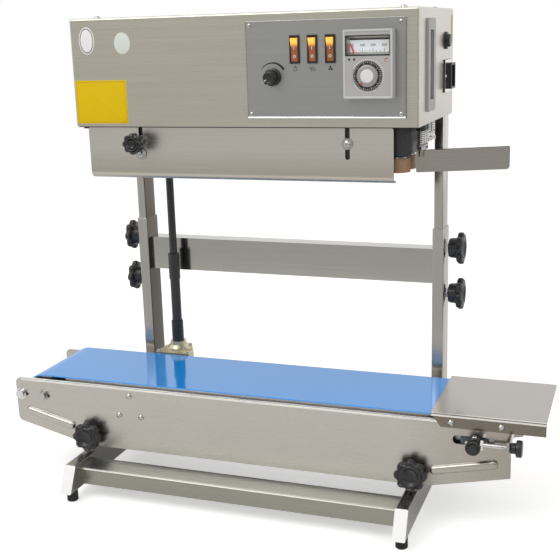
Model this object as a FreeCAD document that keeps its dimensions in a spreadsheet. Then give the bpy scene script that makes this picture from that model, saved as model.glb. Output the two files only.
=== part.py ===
import FreeCAD, Part
import Sketcher
import os
import re

# Driving dimensions in millimetres. X runs along the conveyor, Y to the back, Z up from the floor.
sizes = {
    # base
    "leg_centre_x": -20, "leg_span": 418, "leg_width": 15, "leg_height": 32, "leg_length": 292,
    "leg_nose": 16, "leg_edge": 1.5, "foot_height": 14, "foot_radius": 7, "foot_inset": 16, "foot_bevel": 1,
    "base_bar_inset": 26, "base_bar_depth": 36.6, "base_bar_height": 20.4, "base_bar_drop": 7,
    "base_bar_wall": 1.5, "base_bar_bend": 3,
    # posts that carry the head
    "head_centre_x": -17, "post_inset": 6, "post_width": 15, "post_depth": 32, "post_wall": 1.2,
    "post_back_gap": 32, "post_height": 272.5, "post_foot_width": 34, "post_foot_height": 6,
    "slide_clearance": 0.3, "inner_post_dip": 165,
    "cross_bar_height": 44, "cross_bar_depth": 23.5, "cross_bar_drop": 27, "cross_bar_wall": 1.5,
    "shaft_bar_gap": 17.5,
    # clamp knobs
    "clamp_radius": 20, "clamp_depth": 9, "clamp_collar": 10, "clamp_collar_radius": 12.5, "stud_radius": 4,
    "clamp_upper_drop": 26, "clamp_pitch": 58, "clamp_notch": 5, "clamp_cap_radius": 12,
    "clamp_left_gap": 1, "clamp_right_gap": 4,
    # conveyor frame
    "plate_front": -75, "plate_sheet": 2, "frame_depth": 126, "plate_left": -336, "plate_length": 635,
    "plate_top": 133, "plate_height": 82.5, "plate_left_rise": 24.5, "plate_right_rise": 21,
    "plate_left_ramp": 102, "plate_right_ramp": 96.5, "plate_corner": 7, "flange_depth": 10,
    "flange_left": 60, "flange_length": 481, "rib_width": 10.5, "rib_height": 4.2, "rib_clear": 14,
    "rib_left_gap": 23, "rib_right_gap": 20,
    "bracket_sheet": 3, "bracket_rise": 38, "conveyor_knob_rise": 20.5,
    "knob_radius": 19, "knob_depth": 12, "knob_collar": 5, "knob_collar_radius": 9, "knob_notch": 4.5,
    "knob_cap_radius": 11,
    # conveyor belt and rollers
    "belt_top": 138.7, "belt_sheet": 1.6, "belt_inset": 1.5, "roller_radius": 25.3, "running_gap": 0.3,
    "axle_radius": 5, "bore_clearance": 0.1, "idler_inset": 39.5, "shaft_inset": 55, "drive_radius": 19,
    "tension_inset": 39, "tension_travel": 8, "tension_slot_spare": 17.5, "tension_slot_end": 21,
    "roller_inset": 6, "bed_thickness": 3.8,
    "bed_side_gap": 4, "bed_end_gap": 6, "tie_radius": 3.5, "tie_left_inset": 7.3, "tie_right_inset": 11,
    "tie_right_rise": 33.5, "bolt_head_radius": 5.5, "bolt_head_height": 4, "washer_radius": 7.5,
    "washer_height": 1.2, "bearing_circle": 17.5, "bearing_radius": 14.4,
    "dome_radius": 4, "dome_height": 2.6, "screw_radius": 2,
    # belt tension
    "tension_screw_radius": 3, "tension_screw_offset": 8, "tension_nut": 12, "ear_sheet": 3, "ear_height": 20,
    "tension_knob_radius": 9.5, "tension_knob_length": 12, "tension_knob_neck": 6,
    "lock_knob_radius": 8.5, "lock_knob_depth": 9,
    "lock_collar": 2, "lock_collar_radius": 5.7, "lock_stud_length": 0.2, "lock_notch": 2.6,
    # side table
    "table_overlap": 89, "table_length": 126, "table_sheet": 1.5, "table_gap": 0.6, "table_overhang": 1.5,
    "table_skirt": 15.5, "table_bevel": 11, "table_screw_x": 22.7, "table_screw_pitch": 55.4,
    "table_screw_drop": 9.3,
    # drive to the conveyor
    "shaft_y": 73, "gearbox_length": 50, "gearbox_depth": 40, "gearbox_top": 140, "gearbox_height": 64,
    "gearbox_wall": 4, "gearbox_cut_length": 13.5, "gearbox_cut_depth": 24, "gearbox_boss": 12,
    "gearbox_boss_radius": 11,
    "gearbox_flange": 3, "gearbox_flange_radius": 19, "gearbox_cone": 4, "gearbox_cone_radius": 14.5,
    "bevel_radius": 13, "bevel_face": 4,
    "bevel_small_radius": 10, "bevel_gap": 0.5, "bevel_backlash": 0.6,
    "tube_radius": 6.5, "rod_radius": 5, "tube_top": 274, "collar_radius": 7.5, "collar_length": 35,
    "sleeve_radius": 8, "sleeve_length": 28, "rod_dip": 175,
    # head
    "case_length": 418, "case_depth": 195, "case_height": 125, "case_bottom": 456, "case_front": -59,
    "case_sheet": 1.5, "case_edge": 2.5, "base_plate": 6,
    "panel_right_gap": 14, "panel_length": 181, "panel_height": 106, "panel_rise": 9.5, "panel_sheet": 2,
    "panel_margin": 5, "panel_screw_radius": 2.6, "panel_screw_height": 1.3, "top_screw_left": 30,
    "top_screw_right": 20, "top_screw_inset": 15,
    # control panel pieces, at their places on the face of the head
    "controller_width": 54, "controller_height": 72, "controller_depth": 12, "controller_inset": 38.5,
    "controller_rise": 58.2, "controller_body": 36, "controller_wall": 2.5, "window_width": 49,
    "window_height": 21, "window_rise": 19.3, "window_sheet": 1.2, "dial_radius": 15.5, "dial_drop": 12.2,
    "dial_height": 7, "dial_cap_radius": 7.5, "pointer_drop": 26.7, "pointer_length": 52,
    "pointer_width": 1.4,
    "pointer_lean": 23, "pointer_hub": 3, "pointer_pin": 1, "pointer_sheet": 1, "window_inset": 0.4,
    "speed_inset": 31, "speed_rise": 45.5, "speed_radius": 10, "speed_skirt": 12, "speed_height": 17,
    "speed_skirt_height": 4, "speed_bush": 5, "speed_bevel": 1, "shaft_end": 3,
    "switch_inset": 57.4, "switch_pitch": 20.3, "switch_rise": 74.8, "switch_width": 11.2,
    "switch_height": 30.2,
    "switch_rim": 1.6, "switch_lip": 2, "switch_body": 18, "rocker_tilt": 9, "rocker_crown": 5,
    "switch_pin_inset": 0.5, "switch_pin_radius": 1,
    # side fittings
    "handle_inset": 55, "handle_rise": 63.5, "handle_width": 39, "handle_height": 100, "handle_corner": 4,
    "handle_slot_width": 19, "handle_slot_height": 75, "handle_flange": 2.5, "handle_wall": 2,
    "handle_cup": 26,
    "fuse_inset": 145, "fuse_rise": 88, "fuse_radius": 10, "fuse_cap": 6, "fuse_body_radius": 6,
    "fuse_body": 30,
    "inlet_inset": 155, "inlet_rise": 47, "inlet_plate_width": 40, "inlet_plate_height": 38,
    "inlet_plate_sheet": 1.5, "inlet_width": 26, "inlet_height": 30, "inlet_block": 8, "inlet_body": 22,
    "inlet_wall": 2.5, "pin_width": 2, "pin_height": 4, "pin_pitch": 7,
    # sealing works under the head
    "nip_inset": 40, "nip_gap": 0.4, "seal_belt_height": 15.6, "seal_belt_drop": 51, "seal_belt_sheet": 1,
    "wheel_radius": 12.7,
    "drive_wheel_inset": 41, "idle_wheel_inset": 29.5, "wheel_shaft_radius": 4, "gear_lift": 1,
    "gear_face": 6,
    "tooth_gap": 0.4, "gear_bore_step": 2, "belt_speed_ratio": 0.68,
    "heater_shift": 43, "heater_length": 80, "cooler_inset": 76, "cooler_length": 60, "block_depth": 9,
    "stem_length": 30, "block_gap": 0.4,
    "cover_left_inset": 14, "cover_right_inset": 29, "cover_setback": 4, "cover_height": 61, "cover_gap": 1,
    "cover_sheet": 1.5, "cover_lip": 13, "cover_bend": 8, "cover_corner": 3, "cover_slot_width": 5.4,
    "cover_slot_left": 83.5,
    "cover_slot_right": 81, "cover_slot_drop": 35, "cover_stud_drop": 17.5, "cover_screw_drop": 14.2,
    "cover_tab_width": 16, "cover_tab_sheet": 3, "cover_tab_gap": 1.5, "cover_tab_margin": 2,
    "cover_stud_radius": 2.5, "cover_slot_spare": 2, "cover_washer_radius": 6.4, "cover_rail_height": 13,
    "wheel_housing_length": 29, "wheel_housing_margin": 15.5, "wheel_housing_gap": 3,
    "cover_knob_radius": 12.5, "cover_knob_depth": 15, "cover_knob_neck": 12, "cover_knob_neck_radius": 5,
    "cover_knob_notch": 3, "cover_knob_cap": 7.5,
    "guide_inset": 11, "guide_length": 101, "guide_height": 24, "guide_rise": 5.5, "guide_drop": 2,
    "guide_sheet": 1.5, "guide_gap": 7, "guide_corner": 1.6, "guide_rod_radius": 3, "guide_rod_inset": 6,
    "guide_rod_offset": 1, "guide_rod_hold": 6,
    # motor
    "motor_radius": 27, "motor_length": 90, "motor_box_length": 54, "motor_box_depth": 54,
    "motor_box_height": 44, "pinion_radius": 15, "pinion_shaft_radius": 5,
    # shares of a size that shape turned pieces
    "knob_shoulder": 0.85, "knob_top": 0.86, "knob_dish": 0.8, "notch_out": 0.35, "dome_waist": 0.85,
    "dome_crown": 0.45, "dome_shoulder": 0.6, "rim_share": 0.8,
    "dial_rim": 0.3, "dial_step": 0.55, "dial_shelf": 0.6, "dial_waist": 0.82, "dial_foot": 1.5,
    "fuse_rim": 0.4, "fuse_step": 0.45, "fuse_waist": 0.75, "fuse_top": 0.7,
    "speed_taper": 0.92, "speed_top": 0.82, "screw_knob_neck": 0.65, "screw_knob_end": 1.08,
    "rib_end": 0.42, "slot_end": 0.45,
}

# Places worked out from the driving dimensions.
derived = {
    "leg_bottom": "foot_height", "leg_top": "foot_height + leg_height",
    "leg_left_x": "leg_centre_x - leg_span / 2", "leg_right_x": "leg_centre_x + leg_span / 2",
    "cross_bar_front": "shaft_y + shaft_bar_gap", "post_back": "cross_bar_front + cross_bar_depth",
    "leg_back": "post_back + post_back_gap", "leg_front": "leg_back - leg_length",
    "base_bar_front": "leg_front + base_bar_inset", "base_bar_top": "leg_top - base_bar_drop",
    "post_left_x": "case_left + post_inset", "post_right_x": "case_right - post_inset",
    "post_front": "post_back - post_depth", "post_mid_y": "post_front + post_depth / 2",
    "post_top": "leg_top + post_height",
    "inner_width": "post_width - 2 * post_wall - 2 * slide_clearance",
    "inner_depth": "post_depth - 2 * post_wall - 2 * slide_clearance",
    "inner_bottom": "post_top - inner_post_dip",
    "cross_bar_top": "post_top - cross_bar_drop",
    "clamp_upper_z": "post_top - clamp_upper_drop", "clamp_lower_z": "clamp_upper_z - clamp_pitch",
    "plate_bottom": "plate_top - plate_height", "plate_right": "plate_left + plate_length",
    "plate_inside": "plate_front + plate_sheet", "rear_plate_back": "plate_front + frame_depth",
    "rear_plate_inside": "rear_plate_back - plate_sheet",
    "idler_x": "plate_left + idler_inset", "tension_x": "plate_right - tension_inset",
    "tie_left_x": "plate_left + tie_left_inset", "tie_right_x": "plate_right - tie_right_inset",
    "tie_right_z": "plate_bottom + tie_right_rise", "drive_x": "case_left + shaft_inset",
    "ramp_left_x": "plate_left + plate_left_ramp", "ramp_right_x": "plate_right - plate_right_ramp",
    "rib_left_length": "leg_left_x - rib_left_gap - plate_left - rib_clear",
    "rib_right_length": "plate_right - rib_clear - leg_right_x - rib_right_gap",
    "knob_z": "leg_top + conveyor_knob_rise",
    "belt_front": "plate_inside + belt_inset", "belt_back": "rear_plate_inside - belt_inset",
    "belt_under": "belt_top - belt_sheet", "belt_bend": "roller_radius + running_gap",
    "roller_z": "belt_under - belt_bend", "return_top": "roller_z - belt_bend",
    "drive_z": "return_top + running_gap + drive_radius",
    "roller_front": "plate_inside + roller_inset", "roller_back": "rear_plate_inside - roller_inset",
    "bed_bottom": "plate_top",
    "tension_screw_y": "plate_front - tension_screw_offset",
    "table_top": "belt_top + table_gap + table_sheet", "table_left": "plate_right - table_overlap",
    "table_right": "table_left + table_length",
    "table_front": "plate_front - table_overhang", "table_back": "rear_plate_back + table_overhang",
    "gearbox_left": "drive_x - gearbox_length / 2", "gearbox_bottom": "gearbox_top - gearbox_height",
    "tube_bottom": "drive_z - bevel_radius - bevel_face - gearbox_wall",
    "tube_bore": "rod_radius + slide_clearance",
    "case_left": "head_centre_x - case_length / 2", "case_right": "head_centre_x + case_length / 2",
    "case_top": "case_bottom + case_height", "case_back": "case_front + case_depth",
    "base_top": "case_bottom + base_plate",
    "panel_right": "case_right - panel_right_gap", "panel_left": "panel_right - panel_length",
    "panel_bottom": "case_bottom + panel_rise", "panel_top": "panel_bottom + panel_height",
    "panel_face": "case_front - panel_sheet", "controller_face": "panel_face - controller_depth",
    "controller_x": "panel_right - controller_inset", "controller_z": "panel_bottom + controller_rise",
    "window_z": "controller_z + window_rise", "dial_z": "controller_z - dial_drop",
    "pointer_z": "controller_z - pointer_drop",
    "speed_x": "panel_left + speed_inset", "speed_z": "panel_bottom + speed_rise",
    "switch_x": "panel_left + switch_inset", "switch_z": "panel_bottom + switch_rise",
    "controller_left": "controller_x - controller_width / 2",
    "switch_pin_y": "panel_face + switch_pin_inset",
    "handle_y": "case_front + handle_inset", "handle_z": "case_bottom + handle_rise",
    "fuse_y": "case_front + fuse_inset", "fuse_z": "case_bottom + fuse_rise",
    "inlet_y": "case_front + inlet_inset", "inlet_z": "case_bottom + inlet_rise",
    "handle_cup_width": "handle_slot_width + 2 * handle_wall",
    "handle_cup_height": "handle_slot_height + 2 * handle_wall",
    "nip_y": "case_front + nip_inset", "seal_belt_bottom": "case_bottom - seal_belt_drop",
    "drive_wheel_x": "case_left + drive_wheel_inset", "idle_wheel_x": "case_right - idle_wheel_inset",
    "heater_x": "head_centre_x - heater_shift", "cooler_x": "case_left + cooler_inset",
    "gear_plane": "base_top + gear_lift",
    "wheel_reach": "wheel_radius + running_gap + seal_belt_sheet",
    "front_wheel_y": "nip_y - nip_gap / 2 - wheel_reach", "rear_wheel_y": "nip_y + nip_gap / 2 + wheel_reach",
    "seal_belt_top": "seal_belt_bottom + seal_belt_height",
    "gear_top": "gear_plane + gear_face", "upper_gear": "gear_top + gear_bore_step",
    "shaft_drop": "shaft_y - rear_wheel_y", "shaft_shift": "drive_x - drive_wheel_x",
    "gear_centres": "sqrt(shaft_drop * shaft_drop + shaft_shift * shaft_shift) - tooth_gap",
    "wheel_gear_radius": "gear_centres * belt_speed_ratio / (1 + belt_speed_ratio)",
    "shaft_gear_radius": "gear_centres / (1 + belt_speed_ratio)",
    "pair_gear_radius": "wheel_reach + (nip_gap - tooth_gap) / 2",
    "motor_x": "drive_x + shaft_gear_radius + pinion_radius + tooth_gap",
    "cover_left": "case_left + cover_left_inset",
    "cover_length": "case_length - cover_left_inset - cover_right_inset",
    "cover_slot_left_x": "case_left + cover_slot_left", "cover_slot_right_x": "case_right - cover_slot_right",
    "cover_top": "case_bottom - cover_gap", "cover_bottom": "cover_top - cover_height",
    "cover_face": "case_front + cover_setback", "cover_back": "cover_face + cover_sheet",
    "cover_tab_front": "cover_back + cover_tab_gap", "cover_tab_back": "cover_tab_front + cover_tab_sheet",
    "cover_stud_z": "cover_top - cover_stud_drop", "cover_screw_z": "cover_stud_z - cover_screw_drop",
    "guide_left": "case_right - guide_inset", "guide_right": "guide_left + guide_length",
    "guide_bottom": "seal_belt_bottom - guide_drop",
    "guide_rod_low": "guide_bottom + guide_height - guide_rod_hold",
}

doc = FreeCAD.newDocument("band_sealer")
sheet = doc.addObject("Spreadsheet::Sheet", "Dims")
for row, (name, value) in enumerate(sizes.items(), start=1):
    sheet.set("A%d" % row, str(value))
    sheet.setAlias("A%d" % row, name)
doc.recompute()

touching = 0.01
nodes = []
vectorX = FreeCAD.Vector(1, 0, 0)
vectorY = FreeCAD.Vector(0, 1, 0)
vectorZ = FreeCAD.Vector(0, 0, 1)
faceUp = FreeCAD.Rotation()
faceFront = FreeCAD.Rotation(vectorX, 90)
faceBack = FreeCAD.Rotation(vectorX, -90)
faceRight = FreeCAD.Rotation(vectorY, 90)
faceLeft = FreeCAD.Rotation(vectorY, -90)


def expr(text):
    """Turn plain size names into references to the sheet."""
    def swap(match):
        word = match.group(0)
        if word in derived:
            return "(" + expr(derived[word]) + ")"
        if word in sizes:
            return "Dims." + word
        return word
    return re.sub(r"[A-Za-z_][A-Za-z_0-9]*", swap, str(text))


def bind(obj, **values):
    for name, text in values.items():
        obj.setExpression(name.replace("__", "."), expr(text))


def place(obj, x, y, z, facing=faceUp):
    obj.Placement = FreeCAD.Placement(FreeCAD.Vector(), facing)
    bind(obj, Placement__Base__x=x, Placement__Base__y=y, Placement__Base__z=z)
    return obj


def keep(obj, label):
    """Hand in this object as the piece of that name."""
    obj.Label = label
    nodes.append(obj)
    return obj


def box(name, x, y, z, length, width, height):
    solid = doc.addObject("Part::Box", name)
    bind(solid, Length=length, Width=width, Height=height)
    return place(solid, x, y, z)


def rod(name, x, y, z, radius, height, facing=faceUp):
    solid = doc.addObject("Part::Cylinder", name)
    bind(solid, Radius=radius, Height=height)
    return place(solid, x, y, z, facing)


def cut(name, base, *tools):
    result = doc.addObject("Part::Cut", name)
    result.Base = base
    result.Tool = tools[0] if len(tools) == 1 else fuse(name + "_tools", *tools)
    return result


def fuse(name, *solids):
    result = doc.addObject("Part::MultiFuse", name)
    result.Shapes = list(solids)
    return result


def group(name, *solids):
    result = doc.addObject("Part::Compound", name)
    result.Links = list(solids)
    return result


def draw(body, role, name, start="0"):
    """Start a sketch on one of the body's own origin planes, moved along its normal."""
    sketch = body.newObject("Sketcher::SketchObject", name)
    plane = [one for one in body.Origin.OriginFeatures if one.Role == role][0]
    sketch.AttachmentSupport = [(plane, "")]
    sketch.MapMode = "FlatFace"
    bind(sketch, AttachmentOffset__Base__z=start)
    return sketch


def drive(sketch, kind, geometry, point, text):
    """Add one size to a sketch and bind it to the sheet."""
    if point is None:
        index = sketch.addConstraint(Sketcher.Constraint(kind, geometry, 1.0))
    else:
        index = sketch.addConstraint(Sketcher.Constraint(kind, geometry, point, 1.0))
    sketch.setExpression("Constraints[%d]" % index, expr(text))


def polygon(sketch, points):
    """Draw a closed outline, each corner held by its own two coordinates."""
    count = len(points)
    first = sketch.GeometryCount
    step = 360.0 / count
    ring = [FreeCAD.Rotation(vectorZ, step * n).multVec(vectorX) for n in range(count)]
    for n in range(count):
        sketch.addGeometry(Part.LineSegment(ring[n], ring[(n + 1) % count]))
    for n in range(count):
        following = first + (n + 1) % count
        sketch.addConstraint(Sketcher.Constraint("Coincident", first + n, 2, following, 1))
    for n, (across, up) in enumerate(points):
        drive(sketch, "DistanceX", first + n, 1, across)
        drive(sketch, "DistanceY", first + n, 1, up)


def circle(sketch, across, up, radius):
    index = sketch.addGeometry(Part.Circle(FreeCAD.Vector(), vectorZ, 1.0))
    drive(sketch, "DistanceX", index, 3, across)
    drive(sketch, "DistanceY", index, 3, up)
    drive(sketch, "Radius", index, None, radius)


def padded(name, role, points, start, length):
    """Extrude an outline along +X, +Y or +Z from the place called start."""
    body = doc.addObject("PartDesign::Body", name)
    behind = role == "XZ_Plane"
    sketch = draw(body, role, name + "_outline", "-(%s)" % start if behind else start)
    polygon(sketch, points)
    pad = body.newObject("PartDesign::Pad", name + "_pad")
    pad.Profile = sketch
    pad.Reversed = behind
    bind(pad, Length=length)
    return body


def turned(name, profile, x, y, z, facing=faceUp):
    """Revolve a half profile of radius and height pairs, then stand it in its place."""
    body = doc.addObject("PartDesign::Body", name)
    sketch = draw(body, "XZ_Plane", name + "_profile")
    polygon(sketch, profile)
    turn = body.newObject("PartDesign::Revolution", name + "_turned")
    turn.Profile = sketch
    turn.ReferenceAxis = (sketch, ["V_Axis"])
    turn.Angle = 360
    return place(body, x, y, z, facing)


def rounded(body, name, radius, wanted):
    """Round those edges of the body's last feature that the test picks."""
    doc.recompute()
    last = body.Tip
    edges = ["Edge%d" % (n + 1) for n, edge in enumerate(last.Shape.Edges) if wanted(edge)]
    fillet = body.newObject("PartDesign::Fillet", name)
    fillet.Base = (last, edges)
    bind(fillet, Radius=radius)
    return body


def shape_of(body):
    doc.recompute()
    return body.Shape


def along(edge, axis):
    """True where a straight edge runs along the axis numbered 0, 1 or 2."""
    if edge.Curve.TypeId != "Part::GeomLine":
        return False
    return abs(edge.Curve.Direction[axis]) > 0.999


def middle(edge):
    return edge.valueAt((edge.FirstParameter + edge.LastParameter) / 2)


def pierced(body, name, role, circles, polygons=()):
    """Cut holes right through the body, square to one origin plane."""
    sketch = draw(body, role, name + "_holes")
    for across, up, radius in circles:
        circle(sketch, across, up, radius)
    for points in polygons:
        polygon(sketch, points)
    hole = body.newObject("PartDesign::Pocket", name)
    hole.Profile = sketch
    hole.Type = 1
    hole.Midplane = True
    return body


def rectangle(across, up, width, height):
    """Corner points of an upright rectangle about a centre."""
    left = "%s - (%s) / 2" % (across, width)
    right = "%s + (%s) / 2" % (across, width)
    low = "%s - (%s) / 2" % (up, height)
    high = "%s + (%s) / 2" % (up, height)
    return [(left, low), (right, low), (right, high), (left, high)]


def star_knob(label, radius, depth, notch, collar, collar_radius, stud, stud_length, cap, x, y, z, facing):
    """Eight-lobed clamp knob on a stud. Its collar starts at the place given and it stands outwards."""
    shoulder = "%s + %s * knob_shoulder" % (collar, depth)
    top = "%s + %s" % (collar, depth)
    knob = turned(label, [
        ("0", "-(%s)" % stud_length), (stud, "-(%s)" % stud_length), (stud, "0"), (collar_radius, "0"),
        (collar_radius, collar), (radius, collar), (radius, shoulder), ("%s * knob_top" % radius, top),
        (cap, top), ("%s * knob_dish" % cap, shoulder), ("0", shoulder),
    ], x, y, z, facing)
    sketch = draw(knob, "XY_Plane", label + "_notch", collar)
    circle(sketch, "%s + %s * notch_out" % (radius, notch), "0", notch)
    pocket = knob.newObject("PartDesign::Pocket", label + "_lobe")
    pocket.Profile = sketch
    pocket.Reversed = True
    bind(pocket, Length="2 * " + depth)
    pattern = knob.newObject("PartDesign::PolarPattern", label + "_lobes")
    pattern.Originals = [pocket]
    pattern.Axis = (sketch, ["N_Axis"])
    pattern.Angle = 360
    pattern.Occurrences = 8
    knob.Tip = pattern
    return keep(knob, label)


def dome_head(name, radius, height, x, y, z, facing):
    return turned(name, [
        ("0", "0"), (radius, "0"), (radius + " * dome_waist", height + " * dome_shoulder"),
        (radius + " * dome_crown", height), ("0", height),
    ], x, y, z, facing)


def make_base():
    """Two bar legs with slanted noses, the front channel between them, feet and conveyor brackets."""
    for side in ("left", "right"):
        leg = padded(side + "_leg", "YZ_Plane", [
            ("leg_front", "leg_bottom"), ("leg_back", "leg_bottom"), ("leg_back", "leg_top"),
            ("leg_front + leg_nose", "leg_top"),
        ], "leg_%s_x - leg_width / 2" % side, "leg_width")
        keep(rounded(leg, side + "_leg_edges", "leg_edge", lambda edge: along(edge, 1)), side + "_leg")
    low, high = "base_bar_top - base_bar_height", "base_bar_top"
    back = "base_bar_front + base_bar_depth"
    bar = padded("front_crossbar", "YZ_Plane", [
        ("base_bar_front", low), ("base_bar_front + base_bar_wall", low),
        ("base_bar_front + base_bar_wall", "base_bar_top - base_bar_wall"),
        (back + " - base_bar_wall", "base_bar_top - base_bar_wall"), (back + " - base_bar_wall", low),
        (back, low), (back, high), ("base_bar_front", high),
    ], "leg_left_x + leg_width / 2", "leg_span - leg_width")
    outer_top = max(vertex.Z for vertex in shape_of(bar).Vertexes)
    rounded(bar, "crossbar_bend", "base_bar_bend",
            lambda edge: along(edge, 0) and abs(middle(edge).z - outer_top) < touching)
    keep(bar, "front_crossbar")
    feet = []
    for side in ("left", "right"):
        for end, y in (("front", "leg_front + foot_inset"), ("back", "leg_back - foot_inset")):
            feet.append(turned("foot_%s_%s" % (side, end), [
                ("0", "0"), ("foot_radius - foot_bevel", "0"), ("foot_radius", "foot_bevel"),
                ("foot_radius", "foot_height"), ("0", "foot_height"),
            ], "leg_%s_x" % side, y, "0"))
    keep(group("foot_set", *feet), "rubber_feet")
    brackets = []
    for side in ("left", "right"):
        bracket = padded("bracket_" + side, "YZ_Plane", [
            ("plate_inside", "leg_top"), ("rear_plate_inside", "leg_top"),
            ("rear_plate_inside", "leg_top + bracket_rise"),
            ("rear_plate_inside - bracket_sheet", "leg_top + bracket_rise"),
            ("rear_plate_inside - bracket_sheet", "leg_top + bracket_sheet"),
            ("plate_inside + bracket_sheet", "leg_top + bracket_sheet"),
            ("plate_inside + bracket_sheet", "leg_top + bracket_rise"),
            ("plate_inside", "leg_top + bracket_rise"),
        ], "leg_%s_x - leg_width / 2" % side, "leg_width")
        brackets.append(pierced(bracket, "bracket_hole_" + side, "XZ_Plane",
                                [("leg_%s_x" % side, "knob_z", "stud_radius + bore_clearance")]))
    keep(group("bracket_pair", *brackets), "conveyor_brackets")


def tube(name, x, y, z, width, depth, height, wall):
    """Upright rectangular tube about a centre line."""
    outer = box(name + "_outside", "%s - (%s) / 2" % (x, width), "%s - (%s) / 2" % (y, depth), z,
                width, depth, height)
    inner_width = "%s - 2 * %s" % (width, wall)
    inner_depth = "%s - 2 * %s" % (depth, wall)
    inner = box(name + "_bore", "%s - (%s) / 2" % (x, inner_width), "%s - (%s) / 2" % (y, inner_depth), z,
                inner_width, inner_depth, height)
    return cut(name + "_tube", outer, inner)


def make_posts():
    """Outer posts on foot plates, the bar between them, the inner posts and the four clamp knobs."""
    for side, facing, way in (("left", faceLeft, "-"), ("right", faceRight, "+")):
        x = "post_%s_x" % side
        gap = "clamp_%s_gap" % side
        post = tube(side + "_outer", x, "post_mid_y", "leg_top + post_foot_height", "post_width",
                    "post_depth", "post_height - post_foot_height", "post_wall")
        foot = box(side + "_post_foot", x + " - post_foot_width / 2", "post_front", "leg_top",
                   "post_foot_width", "post_depth", "post_foot_height")
        holes = []
        for level in ("upper", "lower"):
            holes.append(rod("%s_%s_stud_hole" % (side, level), x, "post_mid_y", "clamp_%s_z" % level,
                             "stud_radius + bore_clearance", "post_width", facing))
        keep(cut(side + "_post", fuse(side + "_post_weld", post, foot), *holes), side + "_outer_post")
        keep(tube(side + "_inner", x, "post_mid_y", "inner_bottom", "inner_width", "inner_depth",
                  "case_bottom - inner_bottom", "post_wall"), side + "_inner_post")
        for level in ("upper", "lower"):
            star_knob("%s_%s_clamp_knob" % (side, level), "clamp_radius", "clamp_depth", "clamp_notch",
                      "clamp_collar", "clamp_collar_radius", "stud_radius", "post_wall + " + gap,
                      "clamp_cap_radius", "%s %s (post_width / 2 + %s)" % (x, way, gap), "post_mid_y",
                      "clamp_%s_z" % level, facing)
    low, high = "cross_bar_top - cross_bar_height", "cross_bar_top"
    inside = "cross_bar_front + cross_bar_wall"
    bar = padded("cross_bar", "YZ_Plane", [
        ("cross_bar_front", low), ("post_back", low), ("post_back", low + " + cross_bar_wall"),
        (inside, low + " + cross_bar_wall"), (inside, high + " - cross_bar_wall"),
        ("post_back", high + " - cross_bar_wall"), ("post_back", high), ("cross_bar_front", high),
    ], "post_left_x + post_width / 2", "post_right_x - post_left_x - post_width")
    keep(bar, "post_crossbar")


plateOutline = [
    ("plate_left", "plate_bottom + plate_left_rise"), ("ramp_left_x", "plate_bottom"),
    ("ramp_right_x", "plate_bottom"), ("plate_right", "plate_bottom + plate_right_rise"),
    ("plate_right", "plate_top"), ("plate_left", "plate_top"),
]


def slot_outline(left, right, z, half):
    low = "%s - (%s)" % (z, half)
    high = "%s + (%s)" % (z, half)
    return [(left, low), (right, low), (right, high), (left, high)]


def rib_outline(start, end, left_z, right_z):
    """Slanted bead between two places along the plate, given the foot of each end."""
    return [(start, left_z + " + rib_width"), (end, right_z + " + rib_width"),
            (end, right_z + " + 2 * rib_width"), (start, left_z + " + 2 * rib_width")]


def side_plate(name, start, inward, bores):
    """One long side plate with its bores, tension slot, rounded left end and inward top flange."""
    plate = padded(name, "XZ_Plane", plateOutline, start, "plate_sheet")
    ends = shape_of(plate).BoundBox
    rounded(plate, name + "_corners", "plate_corner",
            lambda edge: along(edge, 1) and abs(middle(edge).x - ends.XMin) < touching)
    circles = bores + [("tie_left_x", "roller_z", "tie_radius"),
                       ("leg_left_x", "knob_z", "stud_radius + bore_clearance"),
                       ("leg_right_x", "knob_z", "stud_radius + bore_clearance")]
    half = "axle_radius + slide_clearance"
    slot = slot_outline("tension_x - tension_travel - tension_slot_spare", "tension_x + tension_slot_end",
                        "roller_z", half)
    pierced(plate, name + "_bores", "XZ_Plane", circles, [slot])
    slot_right = ends.XMax - sizes["tension_inset"] + sizes["tension_slot_end"]
    slot_left = ends.XMax - sizes["tension_inset"] - sizes["tension_travel"] - sizes["tension_slot_spare"]
    rounded(plate, name + "_slot_ends", "2 * (%s) * slot_end" % half, lambda edge: along(edge, 1)
            and min(abs(middle(edge).x - slot_left), abs(middle(edge).x - slot_right)) < touching)
    depth = "flange_depth - plate_sheet"
    flange = box(name + "_flange", "plate_left + flange_left", inward, "plate_top - plate_sheet",
                 "flange_length", depth, "plate_sheet")
    return plate, flange


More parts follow.
